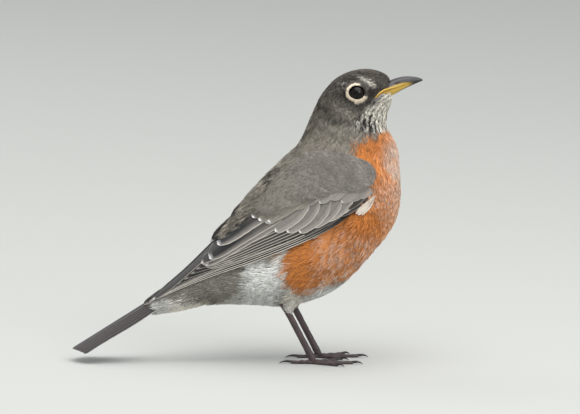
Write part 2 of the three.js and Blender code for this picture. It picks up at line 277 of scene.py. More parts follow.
def body_surface(inset=1.0):
    """P = middle + R cos(angle), y = -half sin(angle)(1 - EGG cos(angle)): the egg sections' outside,
    sunk by a share of the coat's depth."""
    depths = np.array(COAT_DEPTH)[:, None]

    def surface(station, angle):
        row = through(BODY, station)
        depth = inset * through(depths, station)[..., 0]
        middle = (row[..., 0:2] + row[..., 2:4]) / 2
        radius = (row[..., 0:2] - row[..., 2:4]) / 2
        long = np.linalg.norm(radius, axis=-1)
        radius = radius * ((long - depth) / long)[..., None]
        xz = middle + radius * np.cos(angle)[..., None]
        y = -(row[..., 4] - depth) * np.sin(angle) * (1 - EGG * np.cos(angle))
        return np.stack([xz[..., 0], y, xz[..., 1]], axis=-1)

    return surface


def wing_surface(station, angle):
    """A quarter of an ellipse from the upper edge (0) to the lower edge (pi/2): the share downwards is
    1 - cos(angle) and the share outwards sin(angle)."""
    row = through(WING, station)
    top, low = row[..., 0:3], row[..., 3:6]
    point = top + (low - top) * (1 - np.cos(angle))[..., None]
    point[..., 1] = top[..., 1] + (low[..., 1] - top[..., 1]) * np.sin(angle)
    return point


def thigh_surface(forward):
    """Rings round the thigh's line, whose radius shrinks towards the heel."""

    def surface(station, angle):
        row = through(THIGH, station)
        step = 0.01
        ahead = unit(through(THIGH[:, :2], station + step) - through(THIGH[:, :2], station - step))
        up = np.stack([-ahead[..., 1], ahead[..., 0]], axis=-1)
        radius = np.maximum(row[..., 2] - 0.4, 0.2)
        x = row[..., 0] + forward + up[..., 0] * radius * np.cos(angle)
        z = row[..., 1] + up[..., 1] * radius * np.cos(angle)
        return np.stack([x, -LEG_APART - 0.8 * radius * np.sin(angle), z], axis=-1)

    return surface


def share_along(x, z, start, way):
    """The share of each line, from start by way, at which its place (x, z) lies square beside it."""
    return ((x - start[..., 0]) * way[..., 0] + (z - start[..., 1]) * way[..., 1]) / (way**2).sum(-1)


def crossing(before, after):
    """The share of the way from one signed distance to the next at which they pass 0."""
    fall = before - after
    return np.clip(before / np.where(np.abs(fall) < 1e-9, 1e-9, fall), 0, 1)


def find_on_wing(x, h):
    """The wing's (station, share from upper to lower edge) at places in the side view. The section whose
    chord passes through a place is where the chords' signed distance from it last changes sign, and the
    height is corrected three times for how far out the place is."""
    step = 0.06
    stations = np.arange(-0.4, 11.3, step)
    row = through(WING, stations)
    top, low = row[:, [0, 2]], row[:, [3, 5]]
    chord = low - top
    size = np.linalg.norm(chord, axis=1)
    y = np.full(x.shape, -18.0)  # a first guess
    for _ in range(3):
        z = true_height(h, y)
        gap = (chord[:, 0] * (z[..., None] - top[:, 1]) - chord[:, 1] * (x[..., None] - top[:, 0])) / size
        change = (gap[..., :-1] > 0) != (gap[..., 1:] > 0)
        last = change.shape[-1] - 1 - change[..., ::-1].argmax(-1)
        i = np.where(change.any(-1), last, np.abs(gap[..., :-1]).argmin(-1))
        before, after = (np.take_along_axis(gap, k[..., None], -1)[..., 0] for k in (i, i + 1))
        station = stations[i] + crossing(before, after) * step
        here = through(WING, station)
        share = share_along(x, z, here[..., [0, 2]], here[..., [3, 5]] - here[..., [0, 2]])
        out = np.sin(np.arccos(1 - np.clip(share, 0, 1)))
        y = here[..., 1] + (here[..., 4] - here[..., 1]) * out
    return station, share


def on_wing(places, lift):
    """Points over the wing's surface at (ahead, height) places of the side view, raised by lift. Beyond
    either edge they run on straight in the plane of the section, leaning out by 0.3 of its slope."""
    station, share = find_on_wing(places[..., 0], places[..., 1])
    angle = np.clip(np.arccos(1 - np.clip(share, 0, 1)), 0.05, math.pi / 2)
    point, normal, _, _ = frames(wing_surface, station, angle)
    row = through(WING, station)
    spare = np.where(share > 1, share - 1, np.minimum(share, 0))[..., None]
    extra = spare * (row[..., 3:6] - row[..., 0:3])
    extra[..., 1] *= 0.3
    return point + extra + normal * lift[..., None]


def find_on_body(x, h):
    """The body's (station, angle) at places in the side view: of the sections whose long axis spans the
    place, the one that passes nearest, corrected three times for how far out the place is."""
    stations = np.linspace(0, TAIL_ROOT, 300)
    row = through(BODY, stations)
    back, way = row[:, 0:2], row[:, 2:4] - row[:, 0:2]
    size = np.linalg.norm(way, axis=1)
    y = np.full(x.shape, -12.0)  # a first guess
    for _ in range(3):
        z = true_height(h, y)
        to_x, to_z = x[..., None] - back[:, 0], z[..., None] - back[:, 1]
        gap = (to_x * way[:, 1] - to_z * way[:, 0]) / size
        share = (to_x * way[:, 0] + to_z * way[:, 1]) / size**2
        beyond = np.maximum(np.abs(share - 0.5) - 0.5, 0)
        best = (np.abs(gap) + 1000 * beyond).argmin(-1)
        low = np.clip(best - 1, 0, len(stations) - 3)
        before, after = (np.take_along_axis(gap, k[..., None], -1)[..., 0] for k in (low, low + 2))
        station = stations[low] + crossing(before, after) * (stations[2] - stations[0])
        here = through(BODY, station)
        share = share_along(x, z, here[..., 0:2], here[..., 2:4] - here[..., 0:2])
        angle = np.arccos(np.clip(1 - 2 * share, -1, 1))
        y = -here[..., 4] * np.sin(angle) * (1 - EGG * np.cos(angle))
    return station, angle


def on_body(places, lift):
    """Points over the coat of the body's right side at (ahead, height) places, raised by lift."""
    point, normal, _, _ = frames(body_surface(0.0), *find_on_body(places[..., 0], places[..., 1]))
    return point + normal * lift[..., None]


def on_tail(places, lift):
    """Points over the closed tail at places (x, y): an arch that droops by the square of y, whose layers
    lie closer together towards the end."""
    x, y = places[..., 0], places[..., 1]
    f = (x - TAIL_START) / (TAIL_END - TAIL_START)
    crest = TAIL_CREST[0] + (TAIL_CREST[1] - TAIL_CREST[0]) * f
    droop = TAIL_DROOP[0] + (TAIL_DROOP[1] - TAIL_DROOP[0]) * f
    half = TAIL_HALF[0] + (TAIL_HALF[1] - TAIL_HALF[0]) * f
    z = crest - droop * (y / half) ** 2 + lift * (2.6 - 1.6 * np.clip(f, 0, 1))
    return np.stack([x, y, z], axis=-1)


# ---- Meshes ----


def make_piece(name, points, faces, finish, tint=None, maps=None, mirror=False):
    """A mesh object of the named finish, from points in mm and faces of one size. tint is a linear colour
    for each point, and maps holds UV maps, each with a place for each point or for each corner of each
    face."""
    points = np.array(points, float).reshape(-1, 3)
    faces = np.array(faces)
    maps = {key: uv if np.ndim(uv) == 3 else uv.reshape(-1, 2)[faces] for key, uv in (maps or {}).items()}
    if mirror:
        points = points * (1, -1, 1)
        faces = faces[:, ::-1]
        maps = {key: uv[:, ::-1] for key, uv in maps.items()}
    mesh = bpy.data.meshes.new(name)
    corners = faces.shape[1]
    mesh.vertices.add(len(points))
    mesh.vertices.foreach_set("co", (points * MM).astype(np.float32).ravel())
    mesh.loops.add(faces.size)
    mesh.loops.foreach_set("vertex_index", faces.astype(np.int32).ravel())
    mesh.polygons.add(len(faces))
    mesh.polygons.foreach_set("loop_start", np.arange(0, faces.size, corners, dtype=np.int32))
    mesh.polygons.foreach_set("use_smooth", np.ones(len(faces), bool))
    mesh.update(calc_edges=True)
    if tint is not None:
        paint(mesh, np.asarray(tint).reshape(-1, 3))
    for label, uv in maps.items():
        mesh.uv_layers.new(name=label).data.foreach_set("uv", uv.astype(np.float32).ravel())
    mesh.materials.append(material(finish))
    piece = bpy.data.objects.new(name, mesh)
    bpy.context.scene.collection.objects.link(piece)
    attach(piece, "root")
    return piece


def paint(mesh, tint):
    """Stores a linear colour for each vertex as the attribute that the plumage materials read."""
    layer = mesh.color_attributes.new("tint", "FLOAT_COLOR", "POINT")
    rgba = np.ones((len(tint), 4), np.float32)
    rgba[:, :3] = tint
    layer.data.foreach_set("color", rgba.ravel())


def round_grid(rows, sides):
    """Two parameters on a grid: the given rows, and that many even angles round each."""
    return np.meshgrid(rows, np.linspace(0, TAU, sides + 1)[:-1], indexing="ij")


def grid_faces(rows, columns, closed=False):
    """The quads of a grid, and of its seam if its rows close on themselves."""
    i = np.arange(rows - 1)[:, None]
    j = np.arange(columns if closed else columns - 1)[None, :]
    k = (j + 1) % columns
    quads = np.stack([i * columns + j, (i + 1) * columns + j, (i + 1) * columns + k, i * columns + k], -1)
    return quads.reshape(-1, 4)


def as_triangles(quads):
    """Each quad as two triangles."""
    return np.concatenate([quads[:, [0, 1, 2]], quads[:, [0, 2, 3]]])


def tube(surface_points):
    """A closed mesh from rings of points: quads between rings, and a fan round the middle of either end."""
    rows, columns = surface_points.shape[:2]
    points = surface_points.reshape(-1, 3)
    ends = [surface_points[0].mean(0), surface_points[-1].mean(0)]
    faces = as_triangles(grid_faces(rows, columns, closed=True))
    j = np.arange(columns)
    k = (j + 1) % columns
    last = (rows - 1) * columns
    first_fan = np.stack([np.full(columns, rows * columns), j, k], -1)
    last_fan = np.stack([np.full(columns, rows * columns + 1), last + k, last + j], -1)
    return np.vstack([points, ends]), np.concatenate([faces, first_fan, last_fan])


def turned_out(points, faces):
    """The faces, turned round if the closed mesh's volume comes out negative."""
    a, b, c = (points[faces[:, i]] for i in range(3))
    return faces[:, ::-1] if np.einsum("ij,ij->i", a, np.cross(b, c)).sum() < 0 else faces


def joined(parts):
    """Several (points, faces) meshes as one."""
    shift, points, faces = 0, [], []
    for p, f in parts:
        points.append(p)
        faces.append(f + shift)
        shift += len(p)
    return np.vstack(points), np.vstack(faces)


# ---- Feather makers ----


def lock_faces(stations):
    """Triangles of one barb lock: a three-sided spike with that many rings, a tip and a shut root."""
    faces = []
    for i in range(stations - 1):
        left, right, ridge = 3 * i, 3 * i + 1, 3 * i + 2
        for a, b in ((left, ridge), (ridge, right), (right, left)):
            faces += [(a, a + 3, b + 3), (a, b + 3, b)]
    left, right, ridge, tip = 3 * stations - 3, 3 * stations - 2, 3 * stations - 1, 3 * stations
    faces += [(left, tip, ridge), (ridge, tip, right), (right, tip, left), (0, 2, 1)]
    return np.array(faces)


# 1/g and 1/g^2 for the number with g^3 = g + 1: their multiples, less whole numbers, fill a square evenly.
EVEN_STEPS = (0.7548776662466927, 0.5698402909980532)


def scatter(surface, count, weight, rng, span, around=(-math.pi, math.pi)):
    """Evenly spread places on a surface: a low-discrepancy sequence put through the running sums of
    weight times area, first along the stations and then round each ring."""
    stations = np.linspace(*span, 240)
    angles = np.linspace(*around, 181)
    s, a = np.meshgrid(stations, angles, indexing="ij")
    point, _, along, across = frames(surface, s, a)
    area = np.linalg.norm(np.cross(along, across), axis=-1) * np.clip(weight(s, a, point), 0, None)
    rows = area.sum(1)
    n = np.arange(count)
    first, second = ((0.5 + n * step) % 1 for step in EVEN_STEPS)
    sums = np.concatenate([[0], np.cumsum((rows[1:] + rows[:-1]) / 2)])
    station = np.interp(first * sums[-1], sums, stations)
    row = np.clip(np.searchsorted(stations, station), 0, len(stations) - 1)
    cells = np.cumsum(area[row], axis=1)
    cells = cells / np.maximum(cells[:, -1:], 1e-9)
    angle = np.array([np.interp(v, c, angles) for v, c in zip(second, cells)])
    jitter = rng.normal(size=(2, count)) * 0.004
    return station + jitter[0], angle + jitter[1]


def plumes(surface, station, angle, shape, colours, locks, rings, rng):
    """Contour feathers: each is a fan of barb locks that leave its root together, bow outwards and end on
    a rounded edge. A lock at place c across the fan, from -1 to 1, goes sideways by half the width times
    c sin(s pi/2)^0.8, and along from near the root to length times 1 - round c^2. It rises from the root's
    height to the tip's by s^curve. shape holds, for all feathers or for each: length, width, root and tip
    heights, turn in radians, round, fray (how unevenly the locks end), crown (how far the middle stands
    up), curve, stray (how far single locks lift) and thick (a lock's width against its share of the fan).
    colours(s, c, feather) gives a linear colour for each vertex."""
    n = len(station)
    whole = np.ones((n, 1, 1))
    each = {key: np.asarray(value, float).reshape(-1, 1, 1) * whole for key, value in shape.items()}
    c = np.linspace(-1, 1, locks)[None, :, None] + rng.normal(size=(n, locks, 1)) * 0.35 / locks
    start = 0.22 * (1 - np.abs(c)) * rng.uniform(0.4, 1.0, (n, locks, 1))
    finish = (1 - each["round"] * c**2) * (1 + rng.normal(size=(n, locks, 1)) * each["fray"])
    s = np.linspace(0, 0.86 if rings > 2 else 0.6, rings)[None, None, :]
    tip = np.ones((1, 1, 1))
    body_s = np.concatenate([s, tip], axis=2)
    u = each["length"] * (start + (finish - start) * body_s)
    bend = rng.normal(size=(n, locks, 1)) * 0.05 * each["width"]
    v = 0.5 * each["width"] * c * np.sin(body_s * math.pi / 2) ** 0.8 + bend * body_s**2
    rise = body_s ** each["curve"]
    stray = np.abs(rng.normal(size=(n, locks, 1))) * each["stray"] * body_s**2
    h = each["root"] + (each["tip"] - each["root"]) * rise + each["crown"] * (1 - c**2) * body_s + stray
    profile = np.interp(body_s, [0, 0.35, 0.75, 1], [0.55, 1.0, 0.8, 0])
    half = 0.5 * each["width"] / locks * profile * each["thick"]
    left = np.stack([u, v - half, h], -1)
    right = np.stack([u, v + half, h], -1)
    ridge = np.stack([u, v, h + 0.9 * half], -1)
    spikes = np.stack([left, right, ridge], axis=3)
    template = np.concatenate([spikes[:, :, :-1].reshape(n, locks, -1, 3), ridge[:, :, -1:]], axis=2)
    per_lock = template.shape[2]
    flat = template.reshape(n, -1, 3)
    s_all = np.concatenate([np.repeat(s, 3, axis=2), tip], axis=2) * np.ones((n, locks, 1))
    c_all = c * np.ones((1, 1, per_lock))
    tint = colours(s_all.reshape(n, -1), c_all.reshape(n, -1), np.arange(n)[:, None])
    points = stamp(surface, station, angle, each["turn"][:, :, 0], flat)
    faces = lock_faces(s.shape[2])[None] + (np.arange(n * locks) * per_lock)[:, None, None]
    # In the OFBake map each feather has a small patch at its root's place on the unrolled surface.
    beside, along = flat[..., 1] / each["width"][:, 0], flat[..., 0] / each["length"][:, 0] - 0.5
    patch = np.stack([beside, along], -1) * 0.003
    unrolled = np.stack([(angle + math.pi) / TAU, station / TAIL_ROOT], -1) * 0.96 + 0.02
    bake = (patch + unrolled[:, None]).reshape(-1, 2)
    return points.reshape(-1, 3), faces.reshape(-1, 3), tint.reshape(-1, 3), bake


def stamp(surface, station, angle, turn, template):
    """Lays templates (along the lie, across it, height) on a surface round each root. The step in the
    surface's own parameters solves the 2 by 2 metric for the wanted step in millimetres."""
    a, b = station[:, None], angle[:, None]
    _, normal, along, across = frames(surface, a, b)
    lie = unit(along)
    aside = np.cross(normal, lie)
    e, f, g = ((p * q).sum(-1) for p, q in ((along, along), (along, across), (across, across)))
    c, s = np.cos(turn), np.sin(turn)
    du = template[..., 0] * c - template[..., 1] * s
    dv = template[..., 0] * s + template[..., 1] * c
    p = du * np.sqrt(e)
    q = du * (lie * across).sum(-1) + dv * (aside * across).sum(-1)
    det = e * g - f * f
    point, out, _, _ = frames(surface, a + (g * p - f * q) / det, b + (e * q - f * p) / det)
    return point + out * template[..., 2:3]


# Columns across a vane: the inner web is negative, the shaft 0 and the outer web positive.
WEB = np.array([-1, -0.93, -0.75, -0.45, -0.18, -0.05, 0, 0.05, 0.18, 0.4, 0.62, 0.8, 0.92, 1])


def slab_faces(rings, columns, count):
    """Quads of that many closed slabs, each an upper grid, a lower grid and the four rims between them.
    A slab's points are those of its upper grid and then of its lower one."""
    off = rings * columns
    upper = grid_faces(rings, columns)
    lower = upper[:, ::-1] + off
    j, i = np.arange(columns - 1), np.arange(rings - 1)
    here, ahead = i * columns, (i + 1) * columns
    left = np.stack([here, here + off, ahead + off, ahead], -1)
    right = np.stack([here, ahead, ahead + off, here + off], -1) + columns - 1
    root = np.stack([j, j + 1, j + 1 + off, j + off], -1)
    tip = np.stack([j, j + off, j + 1 + off, j + 1], -1) + (rings - 1) * columns
    faces = np.concatenate([upper, lower, left, right, root, tip])
    return (faces[None] + (np.arange(count) * 2 * off)[:, None, None]).reshape(-1, 4)


def vane_maps(s, v, line, faces):
    """UV maps of vanes. In OFBake each vane has a cell of its own, with its upper face to the left of its
    lower one and its rims drawn on the upper one's outline. barbs holds millimetres across and along."""
    n, rings, columns = v.shape
    off = rings * columns
    rows = math.ceil(math.sqrt(n * 4))
    cell = np.stack([np.arange(n) % rows, np.arange(n) // rows], -1)[:, None, None]
    size = np.array([1 / rows, 1 / math.ceil(n / rows)])
    up = np.broadcast_to(0.03 + 0.94 * s[None, :, None], v.shape)
    sheets = [
        (cell + np.stack([np.broadcast_to(middle + 0.22 * WEB, v.shape), up], -1)) * size
        for middle in (0.25, 0.75)
    ]
    rims = np.arange(len(faces)).reshape(n, -1)[:, 2 * (rings - 1) * (columns - 1) :].ravel()
    index = np.array(faces)
    index[rims] -= np.where(faces[rims] % (2 * off) < off, 0, off)
    along = np.linalg.norm(np.diff(line, axis=1), axis=-1).sum(1)[:, None, None]
    flat = np.stack([v, s[None, :, None] * along * np.ones(v.shape)], -1)
    return {
        "OFBake": np.stack(sheets, axis=1).reshape(-1, 2)[index],
        "barbs": np.stack([flat, flat], axis=1).reshape(-1, 2)[faces],
    }


def vanes(
    lay, shafts, outer, inner, lift, colours,
    rings=22, point=0.2, taper=0.25, thick=0.12, camber=0.15, tilt=0.2,
):
    """Flight feathers. Each vane is a grid along its shaft and across its two webs, doubled into an upper
    and a lower face. A web's width grows from the quill as a smooth step over taper, keeps, and closes on
    a round tip over the last share point: sqrt(1 - f^2). The middle stands up by the camber, the shaft by
    a ridge and the outer edge by the tilt, so that each outer edge lies on its neighbour. lay puts places
    of the side view or of the tail's plan, with their lifts, into space."""
    n = len(shafts)
    s = 1 - (1 - np.linspace(0, 1, rings)) ** 1.5
    line = np.stack([through(shaft, s * (len(shaft) - 1)) for shaft in shafts])
    ahead = unit(np.gradient(line, axis=1))
    aside = np.stack([-ahead[..., 1], ahead[..., 0]], -1)
    point = np.broadcast_to(np.asarray(point, float), (n,))[:, None]
    width = 0.18 + 0.82 * smooth(s, 0, taper)[None, :]
    f = np.clip((s[None, :] - 1 + point) / point, 0, 1)
    width = width * np.sqrt(np.clip(1 - f**2, 0, 1)) + 0.004
    which = np.arange(n)[:, None, None]
    reach = np.where(WEB > 0, np.reshape(outer, (-1, 1, 1)), np.reshape(inner, (-1, 1, 1)))
    ragged = 1 + 0.02 * np.sin(s[:, None] * 61 + which * 2.1) + 0.02 * np.sin(s[:, None] * 137 + which)
    v = WEB * reach * width[..., None] * ragged
    places = line[:, :, None] + aside[:, :, None] * v[..., None]
    base = np.reshape(lift, (-1, 1, 1)) + tilt * WEB
    crown = camber * (1 - WEB**2) * np.sin(np.clip(s, 0, 1) * math.pi)[:, None] ** 0.5
    ridge = 0.1 * np.exp(-((WEB / 0.06) ** 2)) * (1 - 0.8 * s)[:, None]
    top = base + crown + ridge
    low = base + crown - thick * (1 - 0.7 * np.abs(WEB) ** 4)
    points = np.stack([lay(places, height * np.ones(v.shape)) for height in (top, low)], axis=1)
    tint = colours(np.broadcast_to(s[None, :, None], v.shape), np.broadcast_to(WEB, v.shape), which)
    # The lower face is painted 0.8 as dark: painted shade on each feather's underside.
    tint = np.stack([tint, tint * 0.8], axis=1)
    faces = slab_faces(rings, len(WEB), n)
    return points.reshape(-1, 3), faces, tint.reshape(-1, 3), vane_maps(s, v, line, faces)


# ---- Colours of the plumage ----


def depth_under(points):
    """How far below the body's middle line a point of the hind part is."""
    middle = np.interp(-points[..., 0], (-30, 0, 20, 47), (52, 45, 39, 30))
    return middle - points[..., 2]


def marked(ground, fringe, places, marks, edge, strength=1.0, lighter=1.0):
    """Both colours with marks laid over them, each an ellipse (middle, half sizes, turn, tone, share). The
    fringe takes the tone made lighter by that factor."""
    for middle, size, turn, tone, share in marks:
        mark = share * spot(*places, middle, size, turn, edge) * strength
        ground, fringe = blend(ground, tone, mark), blend(fringe, tone * lighter, mark)
    return ground, fringe


def markings(points, colour):
    """The plumage's ground colour and its feathers' fringe colour at points of the body."""
    fine = ripple(points, 5, 4)
    ground, fringe = trunk_markings(points, colour, fine)
    return head_markings(points, colour, fine, ground, fringe)


def trunk_markings(points, colour, fine):
    """Slate hood, grey brown neck and mantle, rust breast and white vent, with their soft borders."""
    x, h = side_view(points)
    mottle = ripple(points, 14, 3)
    slate, brown, rust = colour["slate"], colour["brown"], colour["rust"]
    ash, cream = colour["ash"], colour["cream"]
    # Upper side: dark slate on the head, softening to grey brown over the neck and mantle.
    hood = smooth(h, 117, 131)
    ground = blend(blend(brown, brown * 1.12, 0.5 + 0.5 * mottle), slate, hood)
    fringe = blend(brown * 1.25, slate * 1.7, hood)
    # Sides of the neck are paler and browner than the nape.
    neck = spot(x, h, (50, 116), (16, 9), 15, 0.6)
    ground = blend(ground, brown * 1.65, 0.8 * neck)
    # Rust breast and flanks.
    rusty = smooth(depth_inside(x, h, RUST_EDGE) + 1.2 * fine, -1.3, 1.3)
    deep = blend(rust, rust * 0.8, smooth(h, 75, 45))
    pale_front = smooth(x - 0.3 * np.abs(h - 85), 58, 72)
    pale_belly = smooth(h, 72, 58) * smooth(x, 30, 42)
    pale = np.clip(np.maximum(pale_front, pale_belly) * (1.15 + 0.4 * mottle), 0.03, 1)
    deep = blend(deep, colour["fringe"], 0.2 * pale_front + 0.06 * pale_belly)
    ground = blend(ground, deep, rusty)
    fringe = blend(fringe, blend(rust * 1.2, colour["fringe"], pale), rusty)
    # White vent and lower belly, with grey brown flanks behind.
    white = smooth(depth_inside(x, h, WHITE_VENT_EDGE) + 1.0 * fine, -1.6, 1.6)
    rear = smooth(x, 18, 10) * smooth(h, 68, 60) * smooth(depth_under(points), -15, -7)
    flank = blend(brown, ash, 0.25 + 0.25 * mottle)
    ground = blend(ground, flank, rear * (1 - rusty))
    fringe = blend(fringe, ash, rear * (1 - rusty))
    shade = (0.86 + 0.1 * mottle)[..., None]
    ground = blend(ground, ash * shade, white)
    fringe = blend(fringe, ash * 1.15 * shade, white)
    under = smooth(x, -16, -22) * smooth(depth_under(points), -1, 3)
    ground = blend(ground, ash * 0.95, under)
    fringe = blend(fringe, ash * 1.05, under)
    # A grey brown band from the flank to the side of the tail's root.
    grey = smooth(depth_inside(x, h, GREY_EDGE) + fine, -1.5, 2)
    ground = blend(ground, brown * 0.9, 0.85 * grey)
    fringe = blend(fringe, brown * 1.3, 0.85 * grey)
    # Dark and pale strips beside the tail's root, a pale flank, painted shade behind the thigh and the thigh
    # under the belly.
    marks = (
        ((-21.4, 32.8), (8.0, 2.2), 8, brown * 0.5, 0.85),
        ((-30.5, 29.2), (11.0, 2.0), 13, cream * 1.1, 0.9),
        ((5.5, 43.5), (10.0, 4.6), -25, ash * 1.25, 0.85),
        # Painted shade in the crease behind the thigh, where it meets the belly.
        ((16.4, 33.4), (1.9, 3.2), 35, brown * 0.5, 0.75),
        ((22.6, 31.6), (3.6, 4.6), 0, cream * (1.05, 1.0, 0.95), 0.75),
    )
    return marked(ground, fringe, (x, h), marks, 0.3, lighter=1.1)


def head_markings(points, colour, fine, ground, fringe):
    """The streaked throat, the dark face with its fine lines, and the cream strokes over and behind the
    eye and below the bill."""
    x, h = side_view(points)
    brown, ink, cream = colour["brown"], colour["ink"], colour["cream"]
    # Throat: white with ink streaks that follow the lie from the chin down to the breast.
    head = (x > 30) & (h > 112)
    lie = np.zeros(x.shape)
    lie[head] = find_on_body(x[head], h[head])[1]
    throat = smooth(depth_inside(x, h, THROAT_EDGE), -0.7, 0.7)
    streak = np.sin(38 * lie + 0.9 * ripple(points, 5.0, 9))
    white_share = 0.15 + 0.65 * smooth(x + 0.5 * (h - 125), 59, 67)
    between = smooth(streak, 0.85 - 2.2 * white_share, 1.35 - 2.2 * white_share)
    # The cream is painted 1.25 times as light: painted light on the throat, which faces down into shade.
    lined = blend(ink * 0.8, cream * 1.25, between)
    ground = blend(ground, lined, throat)
    fringe = blend(fringe, lined, throat)
    # Dark lores, forehead, cheek and chin, and a browner ear.
    marks = (
        ((57.5, 138.5), (12.0, 9.0), 0, ink, 0.58),
        ((65.6, 140.6), (4.8, 2.8), 20, ink, 0.85),
        ((71.5, 146.5), (5.0, 2.6), -35, ink, 0.5),
        ((64.8, 135.2), (4.0, 2.6), 55, ink, 0.75),
        ((49.0, 130.0), (6.0, 4.5), 0, brown * 1.1, 0.45),
        ((42.6, 127.6), (4.2, 1.2), -65, ink, 0.75),
        ((48.5, 123.4), (5.8, 1.3), -4, ink, 0.8),
        ((58.6, 122.6), (5.4, 3.4), 15, ink, 0.65),
    )
    ground, fringe = marked(ground, fringe, (x, h), marks, 0.5, 0.85 + 0.3 * fine)
    # Fine lines along the lie of crown and face.
    wave = np.sin(60 * lie + 1.5 * ripple(points, 4.0, 6))
    lines = 0.5 * wave * smooth(x, 30, 36) * smooth(h, 126, 138) * (1 - throat)
    ground, fringe = (tone * (1 + lines)[..., None] for tone in (ground, fringe))
    # Cream: the brow in front of the eye, two flecks behind it and the stroke below the bill.
    marks = (
        ((61.9, 144.6), (4.8, 1.7), -28, cream, 1.0),
        ((48.8, 143.3), (2.6, 0.5), 8, cream, 0.8),
        ((48.2, 141.0), (2.0, 0.45), 4, cream, 0.6),
        ((60.2, 125.6), (8.4, 0.9), 53, cream, 1.0),
    )
    return marked(ground, fringe, (x, h), marks, 0.4, np.clip(0.7 + 0.6 * wave, 0, 1))


# ---- Materials ----


def new_material(name, roughness, **sockets):
    """A material and its Principled shader. Constant values go on the shader's own sockets."""
    made = bpy.data.materials.new(name)
    made.use_nodes = True
    shader = made.node_tree.nodes["Principled BSDF"]
    shader.inputs["Roughness"].default_value = roughness
    for label, value in sockets.items():
        shader.inputs[label.replace("_", " ")].default_value = value
    return made, shader


def add(tree, kind, **values):
    """A node with its properties and, where a name matches one, its inputs set."""
    node = tree.nodes.new(kind)
    for key, value in values.items():
        if key in node.inputs:
            node.inputs[key].default_value = value
        else:
            setattr(node, key, value)
    return node


def varied_tint(tree, shader, scale, amount):
    """Base colour: the piece's own tint, made lighter and darker by noise on object coordinates."""
    place = add(tree, "ShaderNodeTexCoord")
    noise = add(tree, "ShaderNodeTexNoise", Scale=scale, Detail=4.0, Roughness=0.6)
    span = add(tree, "ShaderNodeMapRange")
    span.inputs["To Min"].default_value = 1 - amount
    span.inputs["To Max"].default_value = 1 + amount
    tint = add(tree, "ShaderNodeAttribute", attribute_name="tint")
    mix = add(tree, "ShaderNodeVectorMath", operation="SCALE")
    tree.links.new(place.outputs["Object"], noise.inputs["Vector"])
    tree.links.new(noise.outputs["Fac"], span.inputs["Value"])
    tree.links.new(tint.outputs["Color"], mix.inputs[0])
    tree.links.new(span.outputs["Result"], mix.inputs["Scale"])
    tree.links.new(mix.outputs["Vector"], shader.inputs["Base Color"])
    return noise


def bumped(tree, shader, height, strength, distance):
    """The shader's surface raised by a height from 0 to 1 or -1 to 1, times the distance in metres."""
    bump = add(tree, "ShaderNodeBump", Strength=strength, Distance=distance)
    tree.links.new(height, bump.inputs["Height"])
    tree.links.new(bump.outputs["Normal"], shader.inputs["Normal"])


def down_material():
    """Soft contour feathers: matt, with a little sheen and a fine grain in their colour."""
    made, shader = new_material("soft_plumage", 0.85, Sheen_Weight=0.12, Specular_IOR_Level=0.25)
    varied_tint(made.node_tree, shader, 900, 0.28)
    return made


def vane_material():
    """Flight feathers: satin webs with barbs that slant away from the shaft. The barbs are a wave of
    sin(TAU (along - 1.3 |across|) / 0.45) on the barbs map's millimetres."""
    made, shader = new_material("vane", 0.6, Sheen_Weight=0.05, Specular_IOR_Level=0.35)
    tree = made.node_tree
    varied_tint(tree, shader, 500, 0.16)
    place = add(tree, "ShaderNodeUVMap", uv_map="barbs")
    split = add(tree, "ShaderNodeSeparateXYZ")
    off = add(tree, "ShaderNodeMath", operation="ABSOLUTE")
    slant = add(tree, "ShaderNodeMath", operation="MULTIPLY_ADD")
    slant.inputs[1].default_value = -1.3
    wave = add(tree, "ShaderNodeMath", operation="MULTIPLY")
    wave.inputs[1].default_value = TAU / 0.45
    sine = add(tree, "ShaderNodeMath", operation="SINE")
    tree.links.new(place.outputs["UV"], split.inputs["Vector"])
    tree.links.new(split.outputs["X"], off.inputs[0])
    tree.links.new(off.outputs[0], slant.inputs[0])
    tree.links.new(split.outputs["Y"], slant.inputs[2])
    tree.links.new(slant.outputs[0], wave.inputs[0])
    tree.links.new(wave.outputs[0], sine.inputs[0])
    bumped(tree, shader, sine.outputs[0], 0.35, 0.00012)
    return made


def surface_material(name, roughness, grain, depth, amount, **sockets):
    """Skin or horn: its tint with noise in the colour, and the same noise as a shallow bump."""
    made, shader = new_material(name, roughness, **sockets)
    noise = varied_tint(made.node_tree, shader, grain, amount)
    bumped(made.node_tree, shader, noise.outputs["Fac"], 0.5, depth)
    return made


MATERIALS = {}


def material(finish):
    """The bird's materials, each made once."""
    if finish not in MATERIALS:
        makers = {
            "plumage": down_material,
            "vane": vane_material,
            "skin": lambda: surface_material("bird_skin", 0.7, 700, 0.0001, 0.2),
            "horn": lambda: surface_material("bill_horn", 0.4, 420, 0.00006, 0.2, Coat_Weight=0.08),
            "scales": lambda: surface_material("leg_scales", 0.48, 900, 0.00008, 0.25),
            "claw": lambda: surface_material("claw_horn", 0.34, 600, 0.00004, 0.15),
            "eye": lambda: surface_material("eye", 0.05, 300, 0.0, 0.1, Specular_IOR_Level=0.22),
            "lid": lambda: surface_material("lid_skin", 0.55, 1500, 0.00005, 0.2),
        }
        MATERIALS[finish] = makers[finish]()
    return MATERIALS[finish]


# ---- Settings ----


class RobinSizes(bpy.types.PropertyGroup):
    """Sizes that set how full and how fine the coat is."""

    fullness: FloatProperty(
        name="Fullness", description="Height of the coat over the skin", default=1.0, min=0.5, max=1.2
    )
    body_feathers: IntProperty(
        name="Body feathers", description="Contour feathers on breast and belly", default=1420
    )
    back_feathers: IntProperty(
        name="Back feathers", description="Feathers on neck, mantle and shoulders", default=1300
    )
    vent_feathers: IntProperty(
        name="Vent feathers", description="Feathers round vent, rump and tail root", default=760
    )
    head_feathers: IntProperty(
        name="Head feathers", description="Small feathers on the head", default=4200
    )


def colour_property(label, description, *display):
    """A colour setting whose default is given on the display scale."""
    return FloatVectorProperty(
        name=label, description=description, subtype="COLOR", default=tuple(linear(*display))
    )


